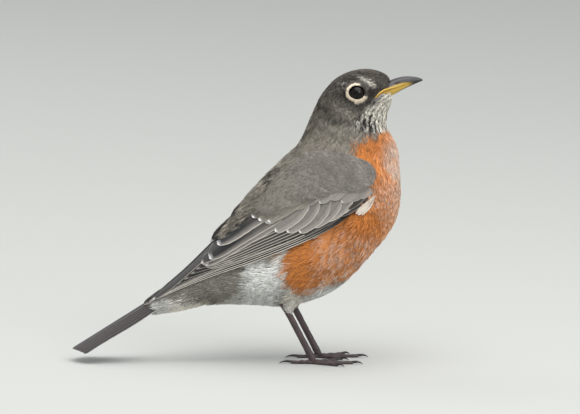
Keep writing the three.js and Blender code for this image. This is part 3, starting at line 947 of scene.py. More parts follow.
class RobinColours(bpy.types.PropertyGroup):
    """Colours of plumage, horn and skin."""

    slate: colour_property("Slate", "Head", 86, 80, 73)
    brown: colour_property("Grey brown", "Neck, mantle and shoulders", 134, 128, 117)
    rust: colour_property("Rust", "Breast and flanks", 213, 134, 62)
    ash: colour_property("Ash white", "Vent and lower belly", 222, 222, 218)
    cream: colour_property("Cream", "Eye ring, brow and throat", 224, 218, 206)
    fringe: colour_property("Fringe", "Pale tips of the breast feathers", 242, 232, 222)
    ink: colour_property("Ink", "Lores and throat streaks", 38, 34, 31)
    wing: colour_property("Wing grey", "Coverts and tertials", 136, 130, 124)
    quill: colour_property("Quill", "Dark webs of flight and tail feathers", 72, 66, 63)
    edge: colour_property("Pale edge", "Outer edges of flight feathers", 226, 219, 207)
    tip: colour_property("White tip", "Tips of coverts and tertials", 225, 223, 222)
    bill: colour_property("Dark horn", "Culmen and tip of the bill", 46, 42, 43)
    yellow: colour_property("Yellow horn", "Lower half of the bill and its seam", 184, 150, 58)
    leg: colour_property("Leg", "Shanks and toes", 67, 53, 53)
    claw: colour_property("Claw", "Claws", 40, 34, 32)


def palette(context):
    """The chosen colours by name, as arrays of linear light."""
    colours = context.scene.robin_colours
    return {name: np.array(getattr(colours, name)) for name in RobinColours.__annotations__}


class RobinOperator:
    """What all of the robin's operators share."""

    bl_options = {"REGISTER", "UNDO"}


# ---- Skin ----


class ROBIN_OT_skin(RobinOperator, bpy.types.Operator):
    """One skin under the plumage, from the bill's root over both thighs to the tail's root"""

    bl_idname = "robin.skin"
    bl_label = "Skin"

    def execute(self, context):
        colour = palette(context)
        stations, angles = round_grid(np.linspace(0, TAIL_ROOT, 150), 72)
        parts = [tube(body_surface(1.0)(stations, angles))]
        stations, angles = round_grid(np.linspace(0, len(THIGH) - 1.15, 30), 32)
        for side, mirror in SIDES.items():
            points, faces = tube(thigh_surface(STRIDE[side])(stations, angles))
            # Drawn in, so that the thigh's feathers stand over it.
            middle = points.mean(0)
            points = middle + (points - middle) * 0.9
            points[:, 1] *= -1 if mirror else 1
            parts.append((points, faces))
        points, faces = joined([(points, turned_out(points, faces)) for points, faces in parts])
        skin = make_piece("body_skin", points, faces, "skin")
        fuse(skin, 0.9 * MM)
        points = np.empty(len(skin.data.vertices) * 3)
        skin.data.vertices.foreach_get("co", points)
        points = points.reshape(-1, 3) / MM
        ground, _ = markings(points, colour)
        # Yellow at the bill's root, close to its seam.
        seam = np.abs(points[:, 2] - np.interp(points[:, 0], BILL[:, 0], BILL[:, 2]))
        gape = smooth(seam, 1.8, 1.0) * smooth(points[:, 0], 65.5, 67)
        # Both colours are painted 0.8 as dark: painted shade on the skin where it shows under the coat.
        paint(skin.data, blend(ground * 0.8, colour["yellow"] * 0.8, gape))
        flesh = ["head", "neck", "trunk", "rump_and_vent", "thigh_right", "thigh_left"]
        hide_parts(*flesh)
        return {"FINISHED"}


def fuse(piece, voxel):
    """Joins a piece's overlapping shells into one closed skin on a grid of voxels, given in metres."""
    remesh = piece.modifiers.new("fuse", "REMESH")
    remesh.mode = "VOXEL"
    remesh.voxel_size = voxel
    remesh.use_smooth_shade = True
    whole = bpy.data.meshes.new_from_object(piece.evaluated_get(bpy.context.evaluated_depsgraph_get()))
    piece.modifiers.clear()
    old = piece.data
    whole.materials.clear()
    whole.materials.append(old.materials[0])
    piece.data = whole
    bpy.data.meshes.remove(old)


# ---- Contour feathers ----


def inside_wing(points):
    """How far inside the folded wing's outline points lie in the side view, negative outside it."""
    edge = np.concatenate([WING[:, 0:3], WING[::-1, 3:6]])
    return depth_inside(*side_view(points), np.stack(side_view(edge), -1))


def coat_depth(station, sizes):
    """Height of the coat over the skin at stations of the body."""
    return np.interp(station, range(len(COAT_DEPTH)), COAT_DEPTH) * sizes.fullness


def in_parts(station, angle, count):
    """Feather places in order of their station, cut into that many numbered parts of like size."""
    for number, part in enumerate(np.array_split(np.argsort(station), count), 1):
        yield number, station[part], angle[part]


FRINGE_PARTS = 5  # a worn fringe is left on some of these parts of its length


def feather_colours(
    ground, fringe, rng, dark_root=0.55, fringe_from=0.72, fringe_full=1.0, shaft=0.0, vary=0.1, patchy=0.0
):
    """A colouring for plumes: darker down at the root, the ground colour, a fringe at the tip and, where
    asked, a darker shaft streak. Feathers vary in tone, and their fringe is worn off in places. ground and
    fringe hold a colour for each feather, or for each of its locks."""
    n = len(ground)
    ground, fringe = ground.reshape(n, -1, 3), fringe.reshape(n, -1, 3)
    tone = 1 + np.clip(rng.normal(size=(n, 1)), -2.2, 2.2) * np.reshape(vary, (-1, 1))
    left = 0.95 * (1 - patchy * smooth(rng.uniform(0, 1, (n, FRINGE_PARTS)), 0.42, 0.52))

    def colours(s, c, feather):
        base, end = (np.repeat(g, s.shape[1] // g.shape[1], axis=1) for g in (ground, fringe))
        colour = blend(base * dark_root, base, smooth(s, 0.1, 0.55))
        part = np.arange(s.shape[1]) * FRINGE_PARTS // s.shape[1]
        colour = blend(colour, end, smooth(s, fringe_from, fringe_full) * left[:, part])
        colour = colour * (1 - shaft * np.exp(-((c / 0.25) ** 2)) * (s < 0.9))[..., None]
        return np.clip(colour * tone[..., None], 0, 1)

    return colours


def plume_piece(name, made, mirror=False):
    """A piece from what plumes gives."""
    points, faces, tint, bake = made
    piece = make_piece(name, points, faces, "plumage", tint, {"OFBake": bake}, mirror)


def coat_piece(
    name, surface, station, angle, shape, colour, locks, rings, rng, slot, by_lock=False, **paint_options
):
    """A piece of contour feathers, with the body's markings at the place where the tip of each feather,
    or of each of its locks, lies."""
    _, _, along, across = frames(surface, station, angle)
    reach = 0.75 * shape["length"] / np.linalg.norm(along, axis=-1)
    half = 0.4 * shape["width"] / np.linalg.norm(across, axis=-1)
    aside = half[:, None] * (np.linspace(-1, 1, locks) if by_lock else np.zeros(1))
    tips = surface((station + reach)[:, None] + 0 * aside, angle[:, None] + aside)
    colours = feather_colours(*markings(tips, colour), rng, **paint_options)
    plume_piece(name, plumes(surface, station, angle, shape, colours, locks, rings, rng))


class ROBIN_OT_breast(RobinOperator, bpy.types.Operator):
    """Long soft feathers of the breast, flanks and belly, in three pieces"""

    bl_idname = "robin.breast"
    bl_label = "Breast and belly feathers"

    def execute(self, context):
        colour, sizes = palette(context), context.scene.robin_sizes
        rng = np.random.default_rng(11)
        surface = body_surface(1.0)

        def weight(s, a, point):
            """Densest on the breast, and none over the back or under the wing."""
            front = smooth(np.abs(a), 1.1, 1.5)
            return (0.55 + 0.9 * smooth(s, 8.5, 6.5)) * front * (inside_wing(point) < 1.5)

        station, angle = scatter(surface, sizes.body_feathers, weight, rng, (6.2, 11.6))
        for number, s, a in in_parts(station, angle, 3):
            n = len(s)
            length = np.interp(s, (6, 7.5, 9, 11.5), (9, 11.5, 14, 15)) * rng.uniform(0.85, 1.12, n)
            root = surface(s, a)
            near_wing = smooth(inside_wing(root), -9, -1)
            wrist = near_wing * smooth(root[:, 0], 56, 63)
            # The coat lies flat beside the wing, and stands out round its bend.
            depth = coat_depth(s, sizes) * (1 - 0.6 * near_wing * (1 - smooth(root[:, 0], 54, 60)))
            shape = {
                "length": length, "width": length * 0.62, "root": 0.15 * depth + wrist,
                "tip": depth * rng.uniform(0.75, 1.0, n) + 1.8 * wrist,
                "turn": rng.normal(size=n) * 0.12, "round": 0.4, "fray": 0.05, "crown": 0.25, "curve": 0.9,
                "stray": 0.12, "thick": 1.35,
            }
            coat_piece(
                f"breast_feathers_{number}", surface, s, a, shape, colour, 15, 4, rng,
                "plumage_rust", dark_root=0.82, fringe_from=0.8, fringe_full=0.93, patchy=1.0, vary=0.06,
            )
        return {"FINISHED"}


class ROBIN_OT_back(RobinOperator, bpy.types.Operator):
    """Feathers of the neck, mantle and shoulders, which run on over the top of the wings"""

    bl_idname = "robin.back"
    bl_label = "Neck and mantle feathers"

    def execute(self, context):
        colour, sizes = palette(context), context.scene.robin_sizes
        rng = np.random.default_rng(12)
        surface = body_surface(1.0)

        def weight(s, a, point):
            """Densest on the neck, all over the upper side and a little beyond the wing's upper edge."""
            _, share = find_on_wing(*side_view(point))
            inside = inside_wing(point)
            upper = np.where(s < 7, 1.0, smooth(np.abs(a), 1.75, 1.45)) * ((share < 0.4) | (inside < -3))
            over_edge = inside < 7 * smooth(point[..., 0], 52, 42)
            return (0.6 + 1.1 * smooth(s, 7.5, 5.5)) * upper * over_edge * smooth(s, 11.3, 10.8)

        station, angle = scatter(surface, sizes.back_feathers, weight, rng, (4.8, 11.2))
        for number, s, a in in_parts(station, angle, 2):
            n = len(s)
            length = np.interp(s, (4.8, 6, 7.5, 9, 11), (5.0, 6.5, 9.5, 12, 14)) * rng.uniform(0.85, 1.12, n)
            depth = coat_depth(s, sizes)
            over_wing = smooth(inside_wing(surface(s, a)), -9, 0.5) * smooth(np.abs(a), 1.9, 1.5)
            shape = {
                "length": length, "width": length * 0.55, "root": 0.2 * depth + 2.2 * over_wing,
                "tip": depth * rng.uniform(0.8, 1.0, n) + 2.9 * over_wing, "turn": rng.normal(size=n) * 0.1,
                "round": 0.5, "fray": 0.05, "crown": 0.25, "curve": 0.8, "stray": 0.08, "thick": 1.2,
            }
            coat_piece(
                f"mantle_feathers_{number}", surface, s, a, shape, colour, 15, 3, rng,
                "plumage_grey_brown", shaft=0.4, fringe_from=0.6,
                vary=0.12 + 0.3 * smooth(np.abs(a), 0.9, 0.3),
            )
        return {"FINISHED"}


class ROBIN_OT_vent(RobinOperator, bpy.types.Operator):
    """Loose feathers of the rump, vent and tail coverts"""

    bl_idname = "robin.vent"
    bl_label = "Rump, vent and tail covert feathers"

    def execute(self, context):
        colour, sizes = palette(context), context.scene.robin_sizes
        rng = np.random.default_rng(13)
        surface = body_surface(1.0)

        def weight(s, a, point):
            """Half as dense on the rump as below."""
            return 0.5 + 0.5 * smooth(np.abs(a), 0.8, 1.4)

        station, angle = scatter(surface, sizes.vent_feathers, weight, rng, (11.3, 14.6))
        n = len(station)
        length = np.interp(station, (11, 12.5, 14.6), (15, 15, 12)) * rng.uniform(0.85, 1.15, n)
        depth = coat_depth(station, sizes)
        shape = {
            "length": length, "width": length * 0.6, "root": 0.1 * depth,
            "tip": depth * rng.uniform(0.7, 1.05, n), "turn": rng.normal(size=n) * 0.16, "round": 0.4,
            "fray": 0.08, "crown": 0.3, "curve": 0.9, "stray": 0.25, "thick": 1.2,
        }
        coat_piece(
            "vent_feathers", surface, station, angle, shape, colour, 14, 3, rng,
            "plumage_white", dark_root=0.75, vary=0.08,
        )
        return {"FINISHED"}


def ring_gap(points):
    """Distance in the side view from the outer edge of the pale ring round the eye, in millimetres."""
    x, h = side_view(points)
    eye_x, eye_h = side_view(LID_MIDDLE)
    half_x, half_h = EYE_OPENING[0] + 0.8, EYE_OPENING[1] + 0.9
    out = np.hypot((x - eye_x - 0.2) / half_x, (h - eye_h) / half_h)
    return (out - 1) * half_h


class ROBIN_OT_head(RobinOperator, bpy.types.Operator):
    """The small dense feathers of the face, crown and throat"""

    bl_idname = "robin.head"
    bl_label = "Head feathers"

    def execute(self, context):
        colour, sizes = palette(context), context.scene.robin_sizes
        rng = np.random.default_rng(14)
        surface = body_surface(1.0)

        def weight(s, a, point):
            """Densest on the face, and none on the ring round the eye, the bill's root or the lips."""
            x, h = side_view(point)
            seam = np.interp(x, BILL[:, 0], BILL[:, 2])
            gape = (x > 66.5) & (np.abs(point[..., 2] - seam) < 0.5 + 2.2 * smooth(s, 1.6, 0))
            lips = (x > 66.0) & (np.abs(h - np.interp(x, *GAPE.T)) < 1.0)
            return (0.5 + 1.3 * smooth(s, 4.2, 1.5)) * (ring_gap(point) > 0) * ~gape * ~lips

        station, angle = scatter(surface, sizes.head_feathers, weight, rng, (0.05, 5.1))
        for number, s, a in in_parts(station, angle, 2):
            n = len(s)
            crown = smooth(np.abs(a), 1.3, 0.9) * smooth(s, 4.6, 3.6)
            slender = np.maximum(crown, smooth(np.abs(a), 1.7, 2.1))  # on the crown and the throat
            length = np.interp(s, (0, 1, 2.5, 4, 5.1), (1.9, 2.3, 3.2, 4.4, 5.6)) * rng.uniform(0.85, 1.15, n)
            length = length * (1 + 0.25 * slender)
            gap = ring_gap(surface(s, a))
            length = np.where(gap < 4, np.minimum(length, 1.0 + 0.75 * gap), length)
            depth = coat_depth(s, sizes)
            shape = {
                "length": length, "width": length * (0.5 - 0.16 * slender), "root": 0.15 * depth,
                "tip": depth * rng.uniform(0.7, 1.05, n) + 0.15 * smooth(s, 1.7, 0.9),
                "turn": rng.normal(size=n) * 0.14, "round": 0.35, "fray": 0.08, "crown": 0.06, "curve": 0.8,
                "stray": 0.06, "thick": 1.3,
            }
            coat_piece(
                f"head_feathers_{number}", surface, s, a, shape, colour, 5, 2, rng,
                "plumage_slate", by_lock=True, dark_root=0.7, fringe_from=0.55, vary=0.16 + 0.2 * crown,
            )
        return {"FINISHED"}


class ROBIN_OT_thighs(RobinOperator, bpy.types.Operator):
    """Short pale feathers over both thighs"""

    bl_idname = "robin.thighs"
    bl_label = "Thigh feathers"

    def execute(self, context):
        colour = palette(context)
        for side, mirror in SIDES.items():
            rng = np.random.default_rng(15)
            surface = thigh_surface(STRIDE[side])
            station, angle = scatter(surface, 260, lambda s, a, point: 1 + 0 * s, rng, (0.7, 3.55))
            n = len(station)
            length = np.interp(station, (0, 2, 3.6), (9, 6, 3.4)) * rng.uniform(0.85, 1.1, n)
            shape = {
                "length": length, "width": length * 0.5, "root": 0.0,
                "tip": rng.uniform(0.6, 1.3, n) * smooth(station, 4.2, 2.6),
                "turn": rng.normal(size=n) * 0.15, "round": 0.4, "fray": 0.08, "crown": 0.2, "curve": 0.9,
                "stray": 0.15, "thick": 1.3,
            }
            fleck = 0.4 * smooth(rng.uniform(0, 1, n), 0.4, 1.0)
            # The ash is painted lighter than its own white: painted light on the thighs, which lie in the
            # belly's shadow.
            ground = blend(colour["ash"] * (1.15, 1.1, 1.04), colour["brown"], fleck)
            colours = feather_colours(ground, ground * 1.2, rng, dark_root=0.7, vary=0.12)
            made = plumes(surface, station, angle, shape, colours, 9, 2, rng)
            plume_piece(f"thigh_feathers_{side}", made, mirror)
        return {"FINISHED"}


# ---- Wings ----

# The folded wing's lower outline in the side view, from its bend to its tip.
WING_LINE = np.array(
    [
        (66.0, 92.0), (63.4, 86.3), (56.1, 77.0), (47.0, 71.4), (35.1, 64.6), (22.0, 59.0), (8.2, 53.6),
        (-3.7, 49.1), (-11.2, 46.9), (-21.1, 43.4), (-31.1, 39.6), (-41.0, 35.6), (-54.7, 29.0),
    ]
)


def above_line(share, offset):
    """Places along the wing's lower outline, at shares of its length, moved square off it by offsets."""
    line = through(WING_LINE, np.linspace(0, len(WING_LINE) - 1, 240))
    run = np.concatenate([[0], np.cumsum(np.linalg.norm(np.diff(line, axis=0), axis=1))])
    way = unit(np.gradient(line, axis=0))
    up = np.stack([way[:, 1], -way[:, 0]], -1)
    read = np.stack([np.interp(share, run / run[-1], column) for column in (*line.T, *up.T)], -1)
    return read[..., :2] + read[..., 2:] * np.asarray(offset)[..., None]


def edged(
    base, edge, tip, seed, edge_from=0.86, tip_from=0.965, dark=0.35, split=(0.35, -0.5), ending=0.0,
    tip_share=0.9,
):
    """A colouring for vanes: an outer web that darkens across the split to the inner one, by the share
    ending more so towards the tip, a pale outer edge, a thin inner one and a tip that is pale by tip_share.
    edge_from and tip_share are given for all feathers or for each."""
    count = 64  # feathers that differ, before they repeat
    tones = 1 + np.random.default_rng(seed).normal(size=count) * 0.05
    tip_shares, edges_from = np.resize(tip_share, count), np.resize(edge_from, count)

    def colours(s, v, feather):
        feather = feather % count
        deep = dark * (1 - ending + ending * smooth(s, 0.3, 0.85))
        shade = 1 - deep * smooth(-v, -split[0], -split[1]) - 0.3 * dark * np.exp(-((v / 0.3) ** 2))
        web = base * (tones[feather] * shade)[..., None]
        bars = 1 + 0.05 * np.sin(s * 70 + v * 3)
        outer = smooth(v - edges_from[feather], 0, 0.1) * smooth(s, 0.05, 0.3)
        inner = smooth(-v, 0.93, 1.0) * 0.4
        web = blend(web * bars[..., None], edge, np.maximum(outer, inner) * 0.9)
        ends = smooth(s - 0.02 * v**2, tip_from, tip_from + 0.6 * (1 - tip_from))
        web = blend(web, tip, ends * tip_shares[feather])
        return blend(web, base * 0.4, np.exp(-((v / 0.04) ** 2)) * (1 - s) * 0.6)

    return colours


def wing_piece(name, parts, nodes):
    """The same feathers on both wings. Each part has a strip of the OFBake map to itself."""
    points, faces = joined([(p, f) for p, f, _, _ in parts])
    tint = np.vstack([t for _, _, t, _ in parts])
    strips = [(maps["OFBake"] + (0, k)) * (1, 1 / len(parts)) for k, (_, _, _, maps) in enumerate(parts)]
    maps = {"OFBake": np.vstack(strips), "barbs": np.vstack([maps["barbs"] for _, _, _, maps in parts])}
    for side, mirror in SIDES.items():
        piece = make_piece(name.format(side), points, faces, "vane", tint, maps, mirror)
        if nodes:
            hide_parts(*(node.format(side) for node in nodes))


class ROBIN_OT_flight(RobinOperator, bpy.types.Operator):
    """Primaries, secondaries and tertials of both folded wings"""

    bl_idname = "robin.flight"
    bl_label = "Flight feathers"

    def execute(self, context):
        colour = palette(context)
        quill, edge, wing, tip = (colour[key] for key in ("quill", "edge", "wing", "tip"))
        # Primaries, outermost first: each follows the wing's lower outline a little higher up.
        reach = (0.955, 1.0, 0.975, 0.935, 0.895, 0.855, 0.82, 0.79, 0.765)
        height = (0.8, 1.9, 3.0, 3.8, 3.9, 4.0, 4.1, 4.2, 4.3)
        ending = (0.4, 0.6, 0.9, 1.4, 2.0, 2.7, 3.6, 5.0, 6.3)
        order = np.arange(len(reach))
        shares = np.linspace(0.16, 1, 7)
        shafts = [
            above_line(shares * r, np.interp(shares, (0, 0.65, 1), (middle, middle, end)))
            for r, middle, end in zip(reach, height, ending)
        ]
        dark = edged(quill * 0.26, edge, edge * 0.6, 1, (0.6, 0.66, 0.74) + (0.84,) * 6, 0.982, 0.4)
        primaries = vanes(
            on_wing, shafts, 1.1, 4.6, -1.15 + 0.06 * order, dark,
            point=0.3, taper=0.04, camber=0.05, tilt=0.15,
        )
        # Dark vanes along the wing's upper edge.
        shafts = [
            [(2, 81.5), (-14, 65.4), (-31, 48.6), (-50, 32.3)],
            [(18.0, 93.0), (-1.0, 78.0), (-18.8, 62.4)],
            [(24.0, 99.0), (8.0, 87.5), (-8.6, 74.0)],
        ]
        upper_edge = vanes(
            on_wing, shafts, (2.6, 2.0, 2.0), (1.7, 3.5, 3.5), (-0.9, -0.45, -0.35),
            edged(quill * 0.34, edge * 0.7, tip, 9, 0.88, 0.97), point=0.2, taper=0.1,
        )
        # Secondaries, outermost first, stacked upwards.
        order = np.arange(6)
        spread = np.array([1.7, 1.5, 1.3, 1.05, 0.75])
        shafts = [
            above_line(np.linspace(0.2 + 0.02 * k, 0.72 + 0.004 * k, 5), 4.5 + spread * k) for k in order
        ]
        web = edged(quill * 0.7, blend(wing, edge, 0.55), edge, 2, 0.74, 0.98, 0.5)
        secondaries = vanes(
            on_wing, shafts, 1.5, 4.5, -0.75 + 0.05 * order, web, point=0.12, taper=0.05, camber=0.1
        )
        # Tertials, lowest first.
        shafts = [
            [(22.0, 75.5), (0.0, 63.4), (-22.2, 50.3)],
            [(24.0, 80.0), (2.5, 67.6), (-20.0, 53.6)],
            [(26.0, 86.5), (6.0, 75.3), (-15.8, 60.9)],
        ]
        pale = blend(wing, edge, 0.75)
        web = edged(blend(quill, wing, 0.85), pale, tip, 3, 0.86, 0.96, 0.88, (0.95, 0.2), 0.6)
        tertials = vanes(
            on_wing, shafts, (2.9, 3.4, 4.0), (5.5, 6.0, 5.0), (-0.5, -0.42, -0.34), web,
            point=(0.16, 0.18, 0.22), camber=0.2,
        )
        nodes = ["wing_{}_flight_feathers", "wing_{}_primary_tips"]
        parts = [primaries, upper_edge, secondaries, tertials]
        wing_piece("flight_feathers_{}", parts, nodes)
        return {"FINISHED"}


class ROBIN_OT_coverts(RobinOperator, bpy.types.Operator):
    """Alula, primary coverts, greater and median coverts of both wings"""

    bl_idname = "robin.coverts"
    bl_label = "Wing coverts"

    def execute(self, context):
        colour = palette(context)
        wing, quill, edge, tip = (colour[key] for key in ("wing", "quill", "edge", "tip"))
        dark = edged(quill * 0.5, edge * 0.45, edge * 0.6, 4, 0.86, 0.97, 0.3)
        shafts = [
            [(66.6, 93.5), (61.0, 84.8), (48.5, 75.4)],
            [(66.2, 96.5), (60.4, 86.8), (52.0, 79.0)],
        ]
        alula = vanes(on_wing, shafts, 2.2, 2.6, (-0.25, -0.15), dark, point=0.3)
        # Primary coverts.
        shafts = [
            [(60 - 3.0 * k, 84.8 - 1.4 * k), (50 - 3.4 * k, 77.8 - 1.6 * k), (40.5 - 3.8 * k, 70.2 - 1.7 * k)]
            for k in range(4)
        ]
        primary = vanes(on_wing, shafts, 1.6, 3.0, -0.7 + 0.04 * np.arange(4), dark, point=0.3, taper=0.1)
        # Greater coverts, from the bend of the wing backwards.
        tips = np.array(
            [
                (61.2, 87.9), (57.2, 84.5), (52.8, 80.9), (47.4, 76.9), (41.0, 73.2), (33.8, 70.0),
                (26.8, 67.3), (20.4, 67.5), (14.2, 67.9), (9.0, 72.6),
            ]
        )
        count = np.arange(len(tips))
        length = np.interp(count, (0, 3, 8, 9), (15, 20, 27, 24))[:, None]
        shafts = [tips + length * (0.71, 0.7), tips + length * (0.42, 0.27), tips]
        tip_share = (0.35,) * 5 + (1.0,) * 5
        pale = blend(wing, edge, 0.75)
        web = edged(wing * 1.12, pale, tip, 5, 0.84, 0.945, 0.25, (0.6, -0.1), tip_share=tip_share)
        outer, inner = np.interp(count, (0, 4, 9), (1.3, 2.1, 3.2)), np.interp(count, (0, 9), (3.0, 4.6))
        greater = vanes(
            on_wing, np.stack(shafts, 1), outer, inner, -0.5 + 0.03 * count, web,
            point=0.16, taper=0.3, camber=0.2, tilt=0.3,
        )
        # Median coverts.
        tips = np.array(
            [
                (63.0, 88.2), (58.0, 85.0), (53.6, 83.6), (49.0, 82.6), (43.6, 84.0), (37.4, 82.4),
                (30.6, 81.6), (24.0, 80.4),
            ]
        )
        shafts = [tips + (9.0, 8.5), tips + (5.2, 4.2), tips]
        web = edged(wing * 1.05, wing * 1.3, tip, 6, 0.86, 0.94, 0.12, tip_share=(0.4, 0.8))
        lifts = -0.15 + 0.03 * np.arange(len(tips))
        median = vanes(
            on_wing, np.stack(shafts, 1), 2.7, 3.2, lifts, web, point=0.3, taper=0.3, camber=0.2, tilt=0.2
        )
        # A row of pale-tipped shoulder feathers that runs on behind them.
        tips = np.array(
            [(24.4, 79.6), (19.0, 77.6), (14.8, 74.8), (10.6, 72.8), (6.0, 73.4), (2.6, 75.0), (-1.6, 78.0)]
        )
        shafts = [tips + (15.0, 11.5), tips + (7.8, 5.4), tips]
        brown = colour["brown"]
        web = edged(brown * 0.95, brown * 1.35, tip * 1.1, 8, 0.84, 0.91, 0.15, tip_share=1.0)
        lifts = 0.12 + 0.04 * np.arange(len(tips))
        scapular = vanes(
            on_wing, np.stack(shafts, 1), 3.0, 3.4, lifts, web, point=0.25, camber=0.2, tilt=0.15
        )
        parts = [alula, primary, greater, median, scapular]
        wing_piece("wing_coverts_{}", parts, ["wing_{}_coverts"])
        return {"FINISHED"}


class ROBIN_OT_shoulder(RobinOperator, bpy.types.Operator):
    """Small soft feathers over the shoulder of both wings, and the pale tuft at the wrist"""

    bl_idname = "robin.shoulder"
    bl_label = "Lesser coverts and scapulars"

    def execute(self, context):
        colour = palette(context)
        self.wrist_tuft(colour)
        # Lower edge of the small feathers in the side view, where the coverts begin.
        border = np.array(
            [
                (-10, 86), (1.6, 77), (3.8, 74.5), (11.1, 73.2), (14.8, 75.0), (17.7, 78.2), (24.3, 80.3),
                (34.5, 82.8), (40, 85.2), (49, 86), (57, 87.5), (62.6, 90), (72, 93),
            ]
        )

        def size(x):
            """Length of the feathers, less towards the bend of the wing."""
            return 12.5 - 7.0 * smooth(x, 22, 52)

        def weight(s, a, point):
            """Densest towards the bend, and none whose tip would lie below the border."""
            x, h = side_view(point)
            tip_x, tip_h = x - 0.8 * size(x), h - 0.55 * size(x)
            return (tip_h > np.interp(tip_x, *border.T)) * (0.7 + 1.6 * smooth(x, 25, 50))

        for side, mirror in SIDES.items():
            rng = np.random.default_rng(16)
            station, angle = scatter(wing_surface, 640, weight, rng, (-0.3, 7.2), (0.1, math.pi / 2))
            n = len(station)
            root = wing_surface(station, angle)
            x, _ = side_view(root)
            length = size(x) * rng.uniform(0.85, 1.1, n)
            shape = {
                "length": length, "width": length * 0.62, "root": 0.1,
                "tip": 0.55 + 0.3 * rng.uniform(0, 1, n), "turn": rng.normal(size=n) * 0.08 - 0.1,
                "round": 0.5, "fray": 0.04, "crown": 0.15,
                "curve": 0.8, "stray": 0.05, "thick": 1.25,
            }
            ground = blend(colour["brown"], colour["wing"] * 1.05, 0.3 + 0.6 * smooth(x, 24, 52))
            ground = ground * (1 + 0.06 * ripple(root, 9, 5))[:, None]
            colours = feather_colours(ground, ground * 1.22, rng, dark_root=0.7, vary=0.11, shaft=0.15)
            made = plumes(wing_surface, station, angle, shape, colours, 13, 3, rng)
            plume_piece(f"scapulars_{side}", made, mirror)
        return {"FINISHED"}

    def wrist_tuft(self, colour):
        """Three cream feathers that show below the bend of the wing, over the breast."""
        shafts = [
            [(64.9, 85.6), (60.6, 81.4), (56.0, 76.8)],
            [(65.1, 85.6), (61.6, 80.8), (57.0, 76.2)],
            [(65.4, 85.8), (63.2, 80.8), (58.8, 76.2)],
        ]
        cream, white = colour["cream"] * (0.86, 0.8, 0.76), colour["tip"]
        web = edged(cream, white * 1.15, white, 10, 0.8, 0.97, 0.12)
        tuft = vanes(
            on_body, shafts, (0.9, 0.95, 0.6), (1.0, 0.8, 0.6), (1.5, 1.7, 1.9), web, point=0.45, taper=0.9
        )
        wing_piece("wrist_tuft_{}", [tuft], [])


# ---- Tail ----


class ROBIN_OT_tail(RobinOperator, bpy.types.Operator):
    """Twelve closed tail feathers, the middle pair on top"""

    bl_idname = "robin.tail"
    bl_label = "Tail feathers"

    def execute(self, context):
        shafts, outer, inner, lift = [], [], [], []
        for k in range(6):
            for sign in (1, -1):
                tip_y = sign * (0.9 + 1.95 * k)
                tip_x = TAIL_END + 0.2 + 0.6 * k + TAIL_CORNER * 0.62 * (k / 5) ** 2
                shafts.append([(-30, 0.25 * tip_y), (-52, 0.5 * tip_y), (-74, 0.78 * tip_y), (tip_x, tip_y)])
                narrow, wide = 3.6 - 0.25 * k, 5.0 + 0.1 * k
                outer.append(wide if sign > 0 else narrow)
                inner.append(narrow if sign > 0 else wide)
                lift.append(-0.1 - 0.22 * k - 0.11 * (sign > 0))
        flip = np.array([-1, 1] * 6)
        colour = palette(context)
        quill, edge = colour["quill"], colour["edge"]
        web, rim, tip = quill * (0.45, 0.44, 0.54), blend(quill, edge, 0.08), blend(quill, edge, 0.3)
        shade = edged(web, rim, tip, 7, 0.86, 0.985)

        def colours(s, v, feather):
            """The shading for feathers whose outer web lies on either side."""
            return shade(s, v * flip[feather] * np.ones(v.shape), feather)

        points, faces, tint, maps = vanes(
            on_tail, shafts, outer, inner, lift, colours,
            rings=26, point=0.07, taper=0.5, thick=0.2, camber=0.15, tilt=0,
        )
        tail = make_piece("tail_feathers", points, faces, "vane", tint, maps)
        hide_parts("tail")
        return {"FINISHED"}


# ---- Bill and eyes ----

NOSTRIL = (77.6, 145.9)  # x, z


def at_nostril(x, z, long, high):
    """1 at the nostril, falling off as exp(-r^2) over a half length and a half height along the bill."""
    ahead = x - NOSTRIL[0]
    return np.exp(-((ahead / long) ** 2) - ((z - NOSTRIL[1] - 0.2 * ahead) / high) ** 2)


